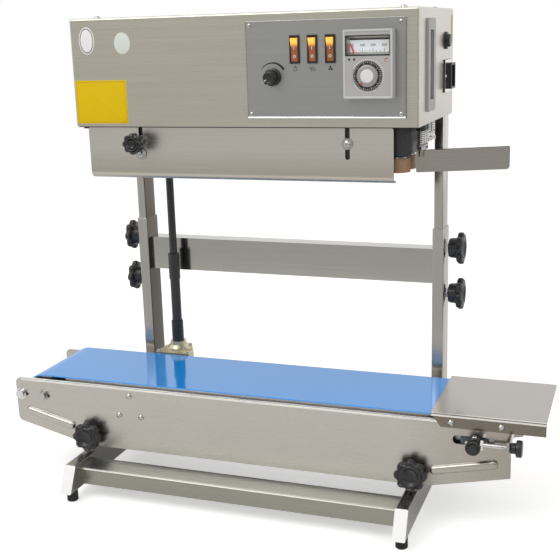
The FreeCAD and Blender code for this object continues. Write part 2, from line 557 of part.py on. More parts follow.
def make_conveyor_frame():
    """Side plates with their beads and blind front bearings, the belt's bed, ties and screws."""
    front, front_flange = side_plate("front_plate", "plate_front", "plate_inside", [])
    left_z = "plate_bottom + plate_left_rise"
    left_start = "plate_left + rib_clear"
    left_rib = padded("left_rib", "XZ_Plane", rib_outline(
        left_start, left_start + " + rib_left_length", left_z,
        left_z + " - rib_left_length * plate_left_rise / plate_left_ramp"),
        "plate_front - rib_height", "rib_height")
    right_z = "plate_bottom + plate_right_rise"
    right_end = "plate_right - rib_clear"
    right_rib = padded("right_rib", "XZ_Plane", rib_outline(
        right_end + " - rib_right_length", right_end,
        right_z + " - rib_right_length * plate_right_rise / plate_right_ramp", right_z),
        "plate_front - rib_height", "rib_height")
    for bead, name in ((left_rib, "left_rib_soft"), (right_rib, "right_rib_soft")):
        rounded(bead, name + "_ends", "rib_width * rib_end", lambda edge: along(edge, 1))
        outside = min(vertex.Y for vertex in shape_of(bead).Vertexes)
        rounded(bead, name, "rib_height * rim_share",
                lambda edge: max(abs(vertex.Y - outside) for vertex in edge.Vertexes) < touching)
    ear = box("tension_ear", "plate_right - ear_sheet", "tension_screw_y - ear_height / 2",
              "roller_z - ear_height / 2", "ear_sheet", "plate_front - tension_screw_y + ear_height / 2",
              "ear_height")
    ear_hole = rod("tension_ear_hole", "plate_right - ear_sheet", "tension_screw_y", "roller_z",
                   "tension_screw_radius + bore_clearance", "ear_sheet", faceRight)
    bosses = []
    bearings = []
    for roller, height in (("idler", "roller_z"), ("drive", "drive_z")):
        bosses.append(rod(roller + "_boss", roller + "_x", "plate_inside", height, "bearing_radius",
                          "roller_inset - running_gap", faceBack))
        bearings.append(rod(roller + "_bearing", roller + "_x", "plate_inside", height,
                            "axle_radius + bore_clearance", "roller_inset", faceBack))
    welded = fuse("front_plate_weld", front, front_flange, left_rib, right_rib, ear, *bosses)
    keep(cut("front_plate_done", welded, ear_hole, *bearings), "conveyor_front_plate")
    rear, rear_flange = side_plate("rear_plate", "rear_plate_inside",
                                   "rear_plate_inside - flange_depth + plate_sheet", [
                                       ("idler_x", "roller_z", "axle_radius + bore_clearance"),
                                       ("drive_x", "drive_z", "axle_radius + bore_clearance")])
    keep(fuse("rear_plate_weld", rear, rear_flange), "conveyor_rear_plate")
    bed_left = "idler_x + roller_radius + bed_end_gap"
    keep(box("bed", bed_left, "belt_front + bed_side_gap", "bed_bottom",
             "tension_x - tension_travel - roller_radius - bed_end_gap - (%s)" % bed_left,
             "belt_back - belt_front - 2 * bed_side_gap", "bed_thickness"), "slider_bed")
    left_tie = turned("left_tie", [
        ("0", "-frame_depth - bolt_head_height"), ("bolt_head_radius", "-frame_depth - bolt_head_height"),
        ("bolt_head_radius", "-frame_depth"), ("tie_radius", "-frame_depth"), ("tie_radius", "0"),
        ("washer_radius", "0"), ("washer_radius", "washer_height"), ("bolt_head_radius", "washer_height"),
        ("bolt_head_radius", "washer_height + bolt_head_height"), ("0", "washer_height + bolt_head_height"),
    ], "tie_left_x", "plate_front", "roller_z", faceFront)
    right_tie = rod("right_tie", "tie_right_x", "plate_inside", "tie_right_z", "tie_radius",
                    "rear_plate_inside - plate_inside", faceBack)
    keep(group("tie_pair", left_tie, right_tie), "tie_rods")
    screws = []
    for n, angle in enumerate((90, 210, 330)):
        across = "drive_x + bearing_circle * cos(%ddeg)" % angle
        up = "drive_z + bearing_circle * sin(%ddeg)" % angle
        screws.append(dome_head("bearing_screw_%d" % n, "dome_radius", "dome_height", across, "plate_front",
                                up, faceFront))
    screws.append(turned("idler_bolt", [
        ("0", "0"), ("washer_radius", "0"), ("washer_radius", "washer_height"),
        ("bolt_head_radius", "washer_height"), ("bolt_head_radius", "washer_height + bolt_head_height"),
        ("0", "washer_height + bolt_head_height"),
    ], "idler_x", "plate_front", "roller_z", faceFront))
    for n in (0, 1):
        across = "table_left + table_screw_x + %d * table_screw_pitch" % n
        screws.append(dome_head("table_screw_%d" % n, "dome_radius", "dome_height", across, "table_front",
                                "table_top - table_screw_drop", faceFront))
    for side in ("left", "right"):
        reach = "plate_sheet + bracket_sheet"
        screws.append(turned("rear_bolt_" + side, [
            ("0", "-(%s)" % reach), ("stud_radius", "-(%s)" % reach), ("stud_radius", "0"),
            ("washer_radius", "0"), ("washer_radius", "washer_height"), ("bolt_head_radius", "washer_height"),
            ("bolt_head_radius", "washer_height + bolt_head_height"),
            ("0", "washer_height + bolt_head_height"),
        ], "leg_%s_x" % side, "rear_plate_back", "knob_z", faceBack))
    keep(group("conveyor_screw_set", *screws), "conveyor_screws")


def make_rollers():
    """Idler and drive rollers on stub axles, the tension roller on its sliding axle, and the knobs."""
    axle_end = "plate_inside + running_gap"
    keep(turned("idler", [
        ("0", axle_end), ("axle_radius", axle_end), ("axle_radius", "roller_front"),
        ("roller_radius", "roller_front"), ("roller_radius", "roller_back"), ("axle_radius", "roller_back"),
        ("axle_radius", "rear_plate_back"), ("0", "rear_plate_back"),
    ], "idler_x", "0", "roller_z", faceBack), "idler_roller")
    bevel_end = "shaft_y - tube_radius - bevel_gap"
    drive_body = turned("drive", [
        ("0", axle_end), ("axle_radius", axle_end), ("axle_radius", "roller_front"),
        ("drive_radius", "roller_front"), ("drive_radius", "roller_back"), ("axle_radius", "roller_back"),
        ("axle_radius", "shaft_y - bevel_radius - bevel_face"),
        ("bevel_radius", "shaft_y - bevel_radius - bevel_face"), ("bevel_radius", "shaft_y - bevel_radius"),
        ("bevel_small_radius", bevel_end), ("0", bevel_end),
    ], "drive_x", "0", "drive_z", faceBack)
    keep(drive_body, "drive_roller")
    bore = "axle_radius + bore_clearance"
    keep(turned("tension", [
        (bore, "roller_front"), ("roller_radius", "roller_front"), ("roller_radius", "roller_back"),
        (bore, "roller_back"),
    ], "tension_x", "0", "roller_z", faceBack), "tension_roller")
    axle = turned("tension_shaft", [
        ("0", "tension_screw_y + tension_nut / 2"), ("axle_radius", "tension_screw_y + tension_nut / 2"),
        ("axle_radius", "rear_plate_back + washer_height"), ("0", "rear_plate_back + washer_height"),
    ], "tension_x", "0", "roller_z", faceBack)
    nut = box("tension_nut_block", "tension_x - tension_nut / 2", "tension_screw_y - tension_nut / 2",
              "roller_z - tension_nut / 2", "tension_nut", "tension_nut", "tension_nut")
    thread = rod("tension_nut_hole", "tension_x - tension_nut", "tension_screw_y", "roller_z",
                 "tension_screw_radius + slide_clearance", "2 * tension_nut", faceRight)
    keep(cut("tension_axle_done", fuse("tension_axle_weld", axle, nut), thread), "tension_axle")
    star_knob("tension_lock_knob", "lock_knob_radius", "lock_knob_depth", "lock_notch", "lock_collar",
              "lock_collar_radius", "screw_radius", "lock_stud_length", "lock_collar_radius", "tension_x",
              "tension_screw_y - tension_nut / 2 - running_gap", "roller_z", faceFront)
    start = "tension_x - tension_nut / 2 - tension_travel / 2"
    keep(turned("tension_screw_body", [
        ("0", start), ("tension_screw_radius", start), ("tension_screw_radius", "plate_right + running_gap"),
        ("tension_knob_radius * screw_knob_neck", "plate_right + running_gap"),
        ("tension_knob_radius * screw_knob_neck", "plate_right + tension_knob_neck"),
        ("tension_knob_radius", "plate_right + tension_knob_neck"),
        ("tension_knob_radius", "plate_right + tension_knob_length"),
        ("tension_knob_radius * rim_share", "plate_right + tension_knob_length * screw_knob_end"),
        ("0", "plate_right + tension_knob_length * screw_knob_end"),
    ], "0", "tension_screw_y", "roller_z", faceRight), "tension_screw")
    for side in ("left", "right"):
        star_knob(side + "_conveyor_knob", "knob_radius", "knob_depth", "knob_notch", "knob_collar",
                  "knob_collar_radius", "stud_radius", "plate_sheet + bracket_sheet + running_gap",
                  "knob_cap_radius", "leg_%s_x" % side, "plate_front - running_gap", "knob_z", faceFront)


def obround(name, radius, start, length):
    """Solid belt loop or its hollow: a slab between the end rollers with both ends round."""
    slab = box(name + "_slab", "idler_x", start, "roller_z - (%s)" % radius, "tension_x - idler_x", length,
               "2 * (%s)" % radius)
    left = rod(name + "_left", "idler_x", start, "roller_z", radius, length, faceBack)
    right = rod(name + "_right", "tension_x", start, "roller_z", radius, length, faceBack)
    return fuse(name, slab, left, right)


def make_belt_and_table():
    width = "belt_back - belt_front"
    outer = obround("belt_outside", "belt_bend + belt_sheet", "belt_front", width)
    inner = obround("belt_inside", "belt_bend", "belt_front", width)
    keep(cut("belt_loop", outer, inner), "conveyor_belt")
    top = box("table_deck", "table_left", "table_front", "table_top - table_sheet", "table_length",
              "table_back - table_front", "table_sheet")
    skirts = []
    for name, end, y in (("table_front_skirt", "table_right", "table_front"),
                         ("table_rear_skirt", "plate_right", "table_back - table_sheet")):
        skirts.append(padded(name, "XZ_Plane", [
            ("table_left", "table_top"), ("table_left + table_bevel", "table_top - table_skirt"),
            (end, "table_top - table_skirt"), (end, "table_top"),
        ], y, "table_sheet"))
    keep(fuse("table_fold", top, *skirts), "side_table")


def gearbox_outline(wall):
    """Plan of the gearbox, or of its hollow inside a wall, square in front and with two rear corners off."""
    left, right = "gearbox_left + (%s)" % wall, "gearbox_left + gearbox_length - (%s)" % wall
    front, back = "rear_plate_back + (%s)" % wall, "rear_plate_back + gearbox_depth - (%s)" % wall
    return [(left, front), (right, front), (right, back + " - gearbox_cut_depth"),
            (right + " - gearbox_cut_length", back), (left + " + gearbox_cut_length", back),
            (left, back + " - gearbox_cut_depth")]


def make_conveyor_drive():
    """Bevel gearbox behind the rear plate and the two telescoping drive shafts."""
    housing = padded("gearbox_block", "XY_Plane", gearbox_outline("0"), "gearbox_bottom", "gearbox_height")
    hollow = padded("gearbox_hollow", "XY_Plane", gearbox_outline("gearbox_wall"), "gearbox_bottom",
                    "gearbox_height - gearbox_wall")
    cone = "gearbox_flange + gearbox_cone"
    boss = turned("gearbox_boss_top", [
        ("0", "0"), ("gearbox_flange_radius", "0"), ("gearbox_flange_radius", "gearbox_flange"),
        ("gearbox_cone_radius", "gearbox_flange"), ("gearbox_boss_radius", cone),
        ("gearbox_boss_radius", "gearbox_boss"), ("0", "gearbox_boss"),
    ], "drive_x", "shaft_y", "gearbox_top")
    bore = rod("gearbox_bore", "drive_x", "shaft_y", "gearbox_bottom", "tube_radius + bore_clearance",
               "gearbox_height + gearbox_boss")
    side_bore = rod("gearbox_side_bore", "drive_x", "rear_plate_back", "drive_z",
                    "axle_radius + bore_clearance", "gearbox_wall", faceBack)
    casting = fuse("gearbox_cast", housing, boss)
    keep(cut("gearbox_done", casting, hollow, bore, side_bore), "bevel_gearbox")
    sleeve = "gearbox_top + gearbox_boss + running_gap"
    bevel_low = "tube_bottom + gearbox_wall"
    bevel_high = bevel_low + " + bevel_face"
    keep(turned("lower_shaft", [
        ("0", "tube_bottom"), ("bevel_small_radius", bevel_low), ("bevel_radius - bevel_backlash", bevel_low),
        ("tube_radius + bevel_gap", bevel_high), ("tube_radius", bevel_high), ("tube_radius", sleeve),
        ("sleeve_radius", sleeve), ("sleeve_radius", sleeve + " + sleeve_length"),
        ("tube_radius", sleeve + " + sleeve_length"), ("tube_radius", "tube_top - collar_length"),
        ("collar_radius", "tube_top - collar_length"), ("collar_radius", "tube_top"),
        ("tube_bore", "tube_top"), ("tube_bore", bevel_high), ("0", bevel_high),
    ], "drive_x", "shaft_y", "0"), "lower_drive_shaft")
    keep(turned("upper_shaft", [
        ("0", "rod_dip"), ("rod_radius", "rod_dip"), ("rod_radius", "upper_gear"),
        ("shaft_gear_radius", "upper_gear"), ("shaft_gear_radius", "upper_gear + gear_face"),
        ("rod_radius + gear_bore_step", "upper_gear + gear_face"),
        ("rod_radius + gear_bore_step", "upper_gear + gear_face + gear_bore_step"),
        ("0", "upper_gear + gear_face + gear_bore_step"),
    ], "drive_x", "shaft_y", "0"), "upper_drive_shaft")


def block(name, x, y, z, length, width, height):
    """Box about a centre in X and Y, standing on z."""
    return box(name, "%s - (%s) / 2" % (x, length), "%s - (%s) / 2" % (y, width), z, length, width, height)


def slab(name, x, z, width, height, start, depth):
    """Box about a centre in X and Z, running back from the place called start."""
    return box(name, "%s - (%s) / 2" % (x, width), start, "%s - (%s) / 2" % (z, height), width, depth, height)


def wall_block(name, y, z, width, height, start, depth):
    """Box about a centre in Y and Z, running along +X from the place called start."""
    return box(name, start, "%s - (%s) / 2" % (y, width), "%s - (%s) / 2" % (z, height), depth, width, height)


def make_case():
    """Folded sheet case, open below, with its cut-outs, and the thick plate that closes it."""
    shell = padded("case_block", "XY_Plane", [
        ("case_left", "case_front"), ("case_right", "case_front"), ("case_right", "case_back"),
        ("case_left", "case_back"),
    ], "case_bottom", "case_height")
    floor = min(vertex.Z for vertex in shape_of(shell).Vertexes)
    rounded(shell, "case_edges", "case_edge", lambda edge: abs(middle(edge).z - floor) > touching)
    hollow = box("case_hollow", "case_left + case_sheet", "case_front + case_sheet", "case_bottom",
                 "case_length - 2 * case_sheet", "case_depth - 2 * case_sheet", "case_height - case_sheet")
    window = box("panel_window", "panel_left + 2 * panel_margin", "case_front",
                 "panel_bottom + 2 * panel_margin", "panel_length - 4 * panel_margin", "case_sheet",
                 "panel_height - 4 * panel_margin")
    tools = [hollow, window]
    for side, start in (("left", "case_left"), ("right", "case_right - case_sheet")):
        tools.append(wall_block(side + "_handle_hole", "handle_y", "handle_z", "handle_cup_width",
                                "handle_cup_height", start, "case_sheet"))
    tools.append(rod("fuse_hole", "case_right - case_sheet", "fuse_y", "fuse_z", "fuse_body_radius",
                     "case_sheet", faceRight))
    tools.append(wall_block("inlet_hole", "inlet_y", "inlet_z", "inlet_width", "inlet_height",
                            "case_right - case_sheet", "case_sheet"))
    keep(cut("case_done", shell, *tools), "head_case")
    left, right = "case_left + case_sheet", "case_right - case_sheet"
    front, back = "case_front + case_sheet", "case_back - case_sheet"
    plate = padded("base_sheet", "XY_Plane", [(left, front), (right, front), (right, back), (left, back)],
                   "case_bottom", "base_plate")
    bores = [("drive_x", "shaft_y", "rod_radius + bore_clearance")]
    for wheel in ("drive", "idle"):
        for row in ("front", "rear"):
            bores.append((wheel + "_wheel_x", row + "_wheel_y", "wheel_shaft_radius + bore_clearance"))
    pierced(plate, "base_bores", "XY_Plane", bores)
    tabs = []
    holes = []
    for side in ("left", "right"):
        x = "cover_slot_%s_x" % side
        low = "cover_screw_z - cover_stud_radius - cover_tab_margin"
        tabs.append(box("cover_tab_" + side, x + " - cover_tab_width / 2", "cover_tab_front", low,
                        "cover_tab_width", "cover_tab_sheet", "case_bottom - (%s)" % low))
        holes.append(rod("stud_hole_" + side, x, "cover_tab_front", "cover_stud_z",
                         "cover_stud_radius + bore_clearance", "cover_tab_sheet", faceBack))
    holes.append(rod("screw_hole", "cover_slot_left_x", "cover_tab_front", "cover_screw_z",
                     "cover_stud_radius + bore_clearance", "cover_tab_sheet", faceBack))
    tabs.append(box("cover_rail", "cover_left + cover_corner", "cover_tab_front",
                    "case_bottom - cover_rail_height", "cover_length - 2 * cover_corner", "cover_tab_sheet",
                    "cover_rail_height"))
    low = "seal_belt_top + wheel_housing_gap"
    for wheel in ("drive", "idle"):
        tabs.append(box(wheel + "_wheel_housing", wheel + "_wheel_x - wheel_housing_length / 2",
                        "front_wheel_y - wheel_housing_margin", low, "wheel_housing_length",
                        "rear_wheel_y - front_wheel_y + 2 * wheel_housing_margin",
                        "case_bottom - (%s)" % low))
        for row in ("front", "rear"):
            holes.append(rod("%s_%s_bearing" % (wheel, row), wheel + "_wheel_x", row + "_wheel_y", low,
                             "wheel_shaft_radius + bore_clearance", "case_bottom - (%s)" % low))
    keep(cut("base_done", fuse("base_weld", plate, *tabs), *holes), "head_base_plate")


def cover_screw(name, x, z):
    """Domed screw and washer that hold the cover in a slot, threaded into the tab behind."""
    reach = "cover_tab_back - cover_face + running_gap"
    return turned(name, [
        ("0", "-(%s)" % reach), ("cover_stud_radius", "-(%s)" % reach), ("cover_stud_radius", "0"),
        ("cover_washer_radius", "0"), ("cover_washer_radius", "washer_height"),
        ("dome_radius", "washer_height"),
        ("dome_radius * dome_waist", "washer_height + dome_height * dome_shoulder"),
        ("dome_radius * dome_crown", "washer_height + dome_height"), ("0", "washer_height + dome_height"),
    ], x, "cover_face - running_gap", z, faceFront)


def make_panel():
    panel = padded("panel_sheet_body", "XZ_Plane", [
        ("panel_left", "panel_bottom"), ("panel_right", "panel_bottom"), ("panel_right", "panel_top"),
        ("panel_left", "panel_top"),
    ], "panel_face", "panel_sheet")
    openings = [rectangle("controller_x", "controller_z", "controller_width - 4 * controller_wall",
                          "controller_height - 4 * controller_wall")]
    for n in range(3):
        openings.append(rectangle("switch_x + %d * switch_pitch" % n, "switch_z", "switch_width - switch_rim",
                                  "switch_height - switch_rim"))
    speed_hole = ("speed_x", "speed_z", "shaft_end + bore_clearance")
    pierced(panel, "panel_openings", "XZ_Plane", [speed_hole], openings)
    keep(panel, "control_panel")
    screws = []
    for side, x in (("left", "panel_left + panel_margin"), ("right", "panel_right - panel_margin")):
        for level, z in (("low", "panel_bottom + panel_margin"), ("high", "panel_top - panel_margin")):
            screws.append(dome_head("panel_screw_%s_%s" % (side, level), "panel_screw_radius",
                                    "panel_screw_height", x, "panel_face", z, faceFront))
    for side, x in (("left", "case_left + top_screw_left"), ("right", "case_right - top_screw_right")):
        for end, y in (("front", "case_front + top_screw_inset"), ("back", "case_back - top_screw_inset")):
            screws.append(dome_head("top_screw_%s_%s" % (side, end), "dome_radius", "dome_height", x, y,
                                    "case_top", faceUp))
    screws.append(cover_screw("cover_screw_right", "cover_slot_right_x", "cover_stud_z"))
    screws.append(cover_screw("cover_screw_left", "cover_slot_left_x", "cover_screw_z"))
    keep(group("head_screw_set", *screws), "head_screws")


def make_switches():
    housings = []
    for n, place_name in enumerate(("left", "middle", "right")):
        x = "switch_x + %d * switch_pitch" % n
        lip = slab("switch_lip_" + place_name, x, "switch_z", "switch_width", "switch_height",
                   "panel_face - switch_lip", "switch_lip")
        body = slab("switch_body_" + place_name, x, "switch_z", "switch_width - switch_rim",
                    "switch_height - switch_rim", "panel_face", "switch_body")
        hollow = slab("switch_hollow_" + place_name, x, "switch_z", "switch_width - 2 * switch_rim",
                      "switch_height - 2 * switch_rim", "panel_face - switch_lip",
                      "switch_body + switch_lip - switch_rim")
        pin = rod("switch_pin_" + place_name, x + " - switch_width / 2 + switch_rim / 2", "switch_pin_y",
                  "switch_z", "switch_pin_radius", "switch_width - switch_rim", faceRight)
        solid = fuse("switch_solid_" + place_name, lip, body)
        shell = cut("switch_shell_" + place_name, solid, hollow)
        housings.append(fuse("switch_" + place_name, shell, pin))
        half = "switch_height / 2 - switch_rim - 3 * running_gap"
        rocker = padded("rocker_shape_" + place_name, "YZ_Plane", [
            ("rocker_crown", "-rocker_crown"), ("0", "-(%s)" % half),
            ("-switch_lip - switch_rim", "-(%s)" % half), ("-switch_lip", "0"),
            ("-switch_lip - switch_rim", half), ("0", half), ("rocker_crown", "rocker_crown"),
        ], "-switch_width / 2 + switch_rim + running_gap", "switch_width - 2 * switch_rim - 2 * running_gap")
        pierced(rocker, "rocker_bore_" + place_name, "YZ_Plane",
                [("0", "0", "switch_pin_radius + bore_clearance")])
        place(rocker, x, "switch_pin_y", "switch_z", FreeCAD.Rotation(vectorX, sizes["rocker_tilt"]))
        keep(rocker, place_name + "_rocker")
    keep(group("switch_set", *housings), "switch_housings")


def make_controller():
    """Temperature controller: bezel and body, window, pointer and setting dial."""
    bezel = slab("controller_bezel", "controller_x", "controller_z", "controller_width", "controller_height",
                 "controller_face", "controller_depth")
    body = slab("controller_box", "controller_x", "controller_z", "controller_width - 4 * controller_wall",
                "controller_height - 4 * controller_wall", "panel_face", "controller_body")
    window = slab("controller_window_hole", "controller_x", "window_z", "window_width", "window_height",
                  "controller_face", "controller_wall")
    hollow_low = "pointer_z - 2 * pointer_hub"
    hollow = box("controller_hollow", "controller_left + controller_wall",
                 "controller_face + controller_wall", hollow_low, "controller_width - 2 * controller_wall",
                 "2 * controller_wall", "window_z + window_height / 2 - (%s)" % hollow_low)
    dial_hole = rod("dial_hole", "controller_x", "controller_face", "dial_z", "shaft_end + bore_clearance",
                    "controller_wall", faceBack)
    pivot_hole = rod("pivot_hole", "controller_x", "controller_face + 3 * controller_wall", "pointer_z",
                     "pointer_pin + bore_clearance", "controller_wall", faceBack)
    keep(cut("controller_done", fuse("controller_solid", bezel, body), window, hollow, dial_hole, pivot_hole),
         "controller_housing")
    keep(slab("window_pane", "controller_x", "window_z", "window_width", "window_height",
              "controller_face + window_inset", "window_sheet"), "controller_window")
    dial_back = "-controller_wall + running_gap"
    keep(turned("dial_body", [
        ("0", dial_back), ("shaft_end", dial_back), ("shaft_end", "0"), ("dial_radius", "0"),
        ("dial_radius", "dial_height * dial_rim"), ("dial_radius * dial_waist", "dial_height * dial_step"),
        ("dial_cap_radius * dial_foot", "dial_height * dial_shelf"), ("dial_cap_radius", "dial_height"),
        ("0", "dial_height"),
    ], "controller_x", "controller_face - running_gap", "dial_z", faceFront), "controller_dial")
    needle = padded("needle", "XZ_Plane", [
        ("-pointer_width / 2", "0"), ("pointer_width / 2", "0"), ("pointer_width / 2", "pointer_length"),
        ("-pointer_width / 2", "pointer_length"),
    ], "0", "pointer_sheet")
    hub = rod("needle_hub", "0", "0", "0", "pointer_hub", "pointer_sheet", faceBack)
    pin = rod("needle_pin", "0", "0", "0", "pointer_pin", "2 * controller_wall - running_gap", faceBack)
    pointer = fuse("needle_done", needle, hub, pin)
    place(pointer, "controller_x", "controller_face + 2 * controller_wall", "pointer_z",
          FreeCAD.Rotation(vectorY, -sizes["pointer_lean"]))
    keep(pointer, "controller_pointer")
    keep(turned("speed_body", [
        ("0", "-speed_bush"), ("shaft_end", "-speed_bush"), ("shaft_end", "0"), ("speed_skirt", "0"),
        ("speed_skirt", "speed_skirt_height / 2"), ("speed_radius", "speed_skirt_height"),
        ("speed_radius * speed_taper", "speed_height - speed_bevel"),
        ("speed_radius * speed_top", "speed_height"), ("0", "speed_height"),
    ], "speed_x", "panel_face - running_gap", "speed_z", faceFront), "speed_knob")


def make_side_fittings():
    handles = []
    for side, flange, cup, mouth in (
            ("left", "case_left - handle_flange", "case_left", "case_left - handle_flange"),
            ("right", "case_right", "case_right - handle_cup", "case_right - handle_cup + handle_wall")):
        plate = padded(side + "_handle_flange", "YZ_Plane",
                       rectangle("handle_y", "handle_z", "handle_width", "handle_height"), flange,
                       "handle_flange")
        rounded(plate, side + "_handle_corners", "handle_corner", lambda edge: along(edge, 0))
        pocket = wall_block(side + "_handle_cup", "handle_y", "handle_z", "handle_cup_width",
                            "handle_cup_height", cup, "handle_cup")
        space = wall_block(side + "_handle_space", "handle_y", "handle_z", "handle_slot_width",
                           "handle_slot_height", mouth, "handle_cup - handle_wall + handle_flange")
        handles.append(cut(side + "_handle", fuse(side + "_handle_solid", plate, pocket), space))
    keep(group("handle_pair", *handles), "carry_handles")
    keep(turned("fuse_body_turned", [
        ("0", "-fuse_body"), ("fuse_body_radius", "-fuse_body"), ("fuse_body_radius", "0"),
        ("fuse_radius", "0"),
        ("fuse_radius", "fuse_cap * fuse_rim"), ("fuse_radius * fuse_waist", "fuse_cap * fuse_step"),
        ("fuse_radius * fuse_top", "fuse_cap"), ("0", "fuse_cap"),
    ], "case_right", "fuse_y", "fuse_z", faceRight), "fuse_holder")
    plate = wall_block("inlet_plate", "inlet_y", "inlet_z", "inlet_plate_width", "inlet_plate_height",
                       "case_right", "inlet_plate_sheet")
    body = wall_block("inlet_shell", "inlet_y", "inlet_z", "inlet_width", "inlet_height",
                      "case_right - inlet_body", "inlet_body + inlet_block")
    mouth = wall_block("inlet_mouth", "inlet_y", "inlet_z", "inlet_width - 2 * inlet_wall",
                       "inlet_height - 2 * inlet_wall", "case_right - inlet_body + 2 * inlet_wall",
                       "inlet_body + inlet_block - 2 * inlet_wall")
    pins = []
    for n in (-1, 0, 1):
        y = "inlet_y + pin_width * %d" % (1 - abs(n))
        pins.append(wall_block("inlet_pin_%d" % (n + 1), y, "inlet_z + pin_pitch * %d" % n, "pin_width",
                               "pin_height", "case_right - inlet_body + inlet_wall",
                               "inlet_body - inlet_wall"))
    keep(fuse("inlet_done", cut("inlet_open", fuse("inlet_solid", plate, body), mouth), *pins), "power_inlet")


def make_sealing_works():
    """Sealing wheels with their shafts and gears, belts, heating and cooling blocks, guides."""
    low, high = "seal_belt_bottom", "seal_belt_top"
    for row in ("front", "rear"):
        profile = [("0", low), ("wheel_radius", low), ("wheel_radius", high), ("wheel_shaft_radius", high),
                   ("wheel_shaft_radius", "gear_plane"), ("pair_gear_radius", "gear_plane"),
                   ("pair_gear_radius", "gear_top")]
        if row == "front":
            profile += [("0", "gear_top")]
        else:
            profile += [("wheel_shaft_radius", "gear_top"), ("wheel_shaft_radius", "upper_gear"),
                        ("wheel_gear_radius", "upper_gear"), ("wheel_gear_radius", "upper_gear + gear_face"),
                        ("0", "upper_gear + gear_face")]
        drive_wheel = turned(row + "_drive_shape", profile, "drive_wheel_x", row + "_wheel_y", "0")
        keep(drive_wheel, row + "_drive_wheel")
        keep(turned(row + "_idle_shape", [
            ("0", low), ("wheel_radius", low), ("wheel_radius", high), ("wheel_shaft_radius", high),
            ("wheel_shaft_radius", "base_top + running_gap"),
            ("2 * wheel_shaft_radius", "base_top + running_gap"),
            ("2 * wheel_shaft_radius", "gear_top"), ("0", "gear_top"),
        ], "idle_wheel_x", row + "_wheel_y", "0"), row + "_idler_wheel")
    loops = []
    for row in ("front", "rear"):
        outer = seal_loop(row + "_belt_outside", row + "_wheel_y", "wheel_reach")
        inner = seal_loop(row + "_belt_inside", row + "_wheel_y", "wheel_reach - seal_belt_sheet")
        loops.append(cut(row + "_seal_belt", outer, inner))
    keep(group("seal_belt_pair", *loops), "seal_belts")
    for label, start, length in (("heater_blocks", "heater_x", "heater_length"),
                                 ("cooling_blocks", "cooler_x", "cooler_length")):
        pair = []
        for row, y in (("front", "nip_y - nip_gap / 2 - seal_belt_sheet - block_gap - block_depth"),
                       ("rear", "nip_y + nip_gap / 2 + seal_belt_sheet + block_gap")):
            bar = box("%s_%s_bar" % (row, label), start, y, low, length, "block_depth", "seal_belt_height")
            stem = box("%s_%s_stem" % (row, label), "%s + (%s - stem_length) / 2" % (start, length), y, high,
                       "stem_length", "block_depth", "case_bottom - (%s)" % high)
            pair.append(fuse("%s_%s" % (row, label), bar, stem))
        keep(group(label + "_pair", *pair), label)
    guides = []
    outside = "(guide_gap / 2 + guide_sheet)"
    for row, y, rod_y in (("front", "nip_y - " + outside, "nip_y - guide_rod_offset - " + outside),
                          ("rear", "nip_y + guide_gap / 2", "nip_y + guide_rod_offset + " + outside)):
        plate = padded(row + "_guide", "XZ_Plane", [
            ("guide_left", "guide_bottom"), ("guide_right", "guide_bottom + guide_rise"),
            ("guide_right", "guide_bottom + guide_rise + guide_height"),
            ("guide_left", "guide_bottom + guide_height"),
        ], y, "guide_sheet")
        rounded(plate, row + "_guide_corners", "guide_corner", lambda edge: along(edge, 1))
        hanger = rod(row + "_guide_rod", "guide_left + guide_rod_inset", rod_y, "guide_rod_low",
                     "guide_rod_radius", "case_bottom - guide_rod_low")
        slot = box(row + "_rod_flat", "guide_left", "nip_y - guide_gap / 2", "guide_bottom", "guide_length",
                   "guide_gap", "2 * guide_height")
        guides.append(cut(row + "_guide_done", fuse(row + "_guide_weld", plate, hanger), slot))
    keep(group("guide_pair", *guides), "infeed_guides")


def seal_loop(name, y, radius):
    """Solid upright loop about the drive and idler wheels of one row."""
    straight = box(name + "_run", "drive_wheel_x", "%s - (%s)" % (y, radius), "seal_belt_bottom",
                   "idle_wheel_x - drive_wheel_x", "2 * (%s)" % radius, "seal_belt_height")
    ends = [rod(name + "_" + wheel, wheel + "_wheel_x", y, "seal_belt_bottom", radius, "seal_belt_height")
            for wheel in ("drive", "idle")]
    return fuse(name, straight, *ends)


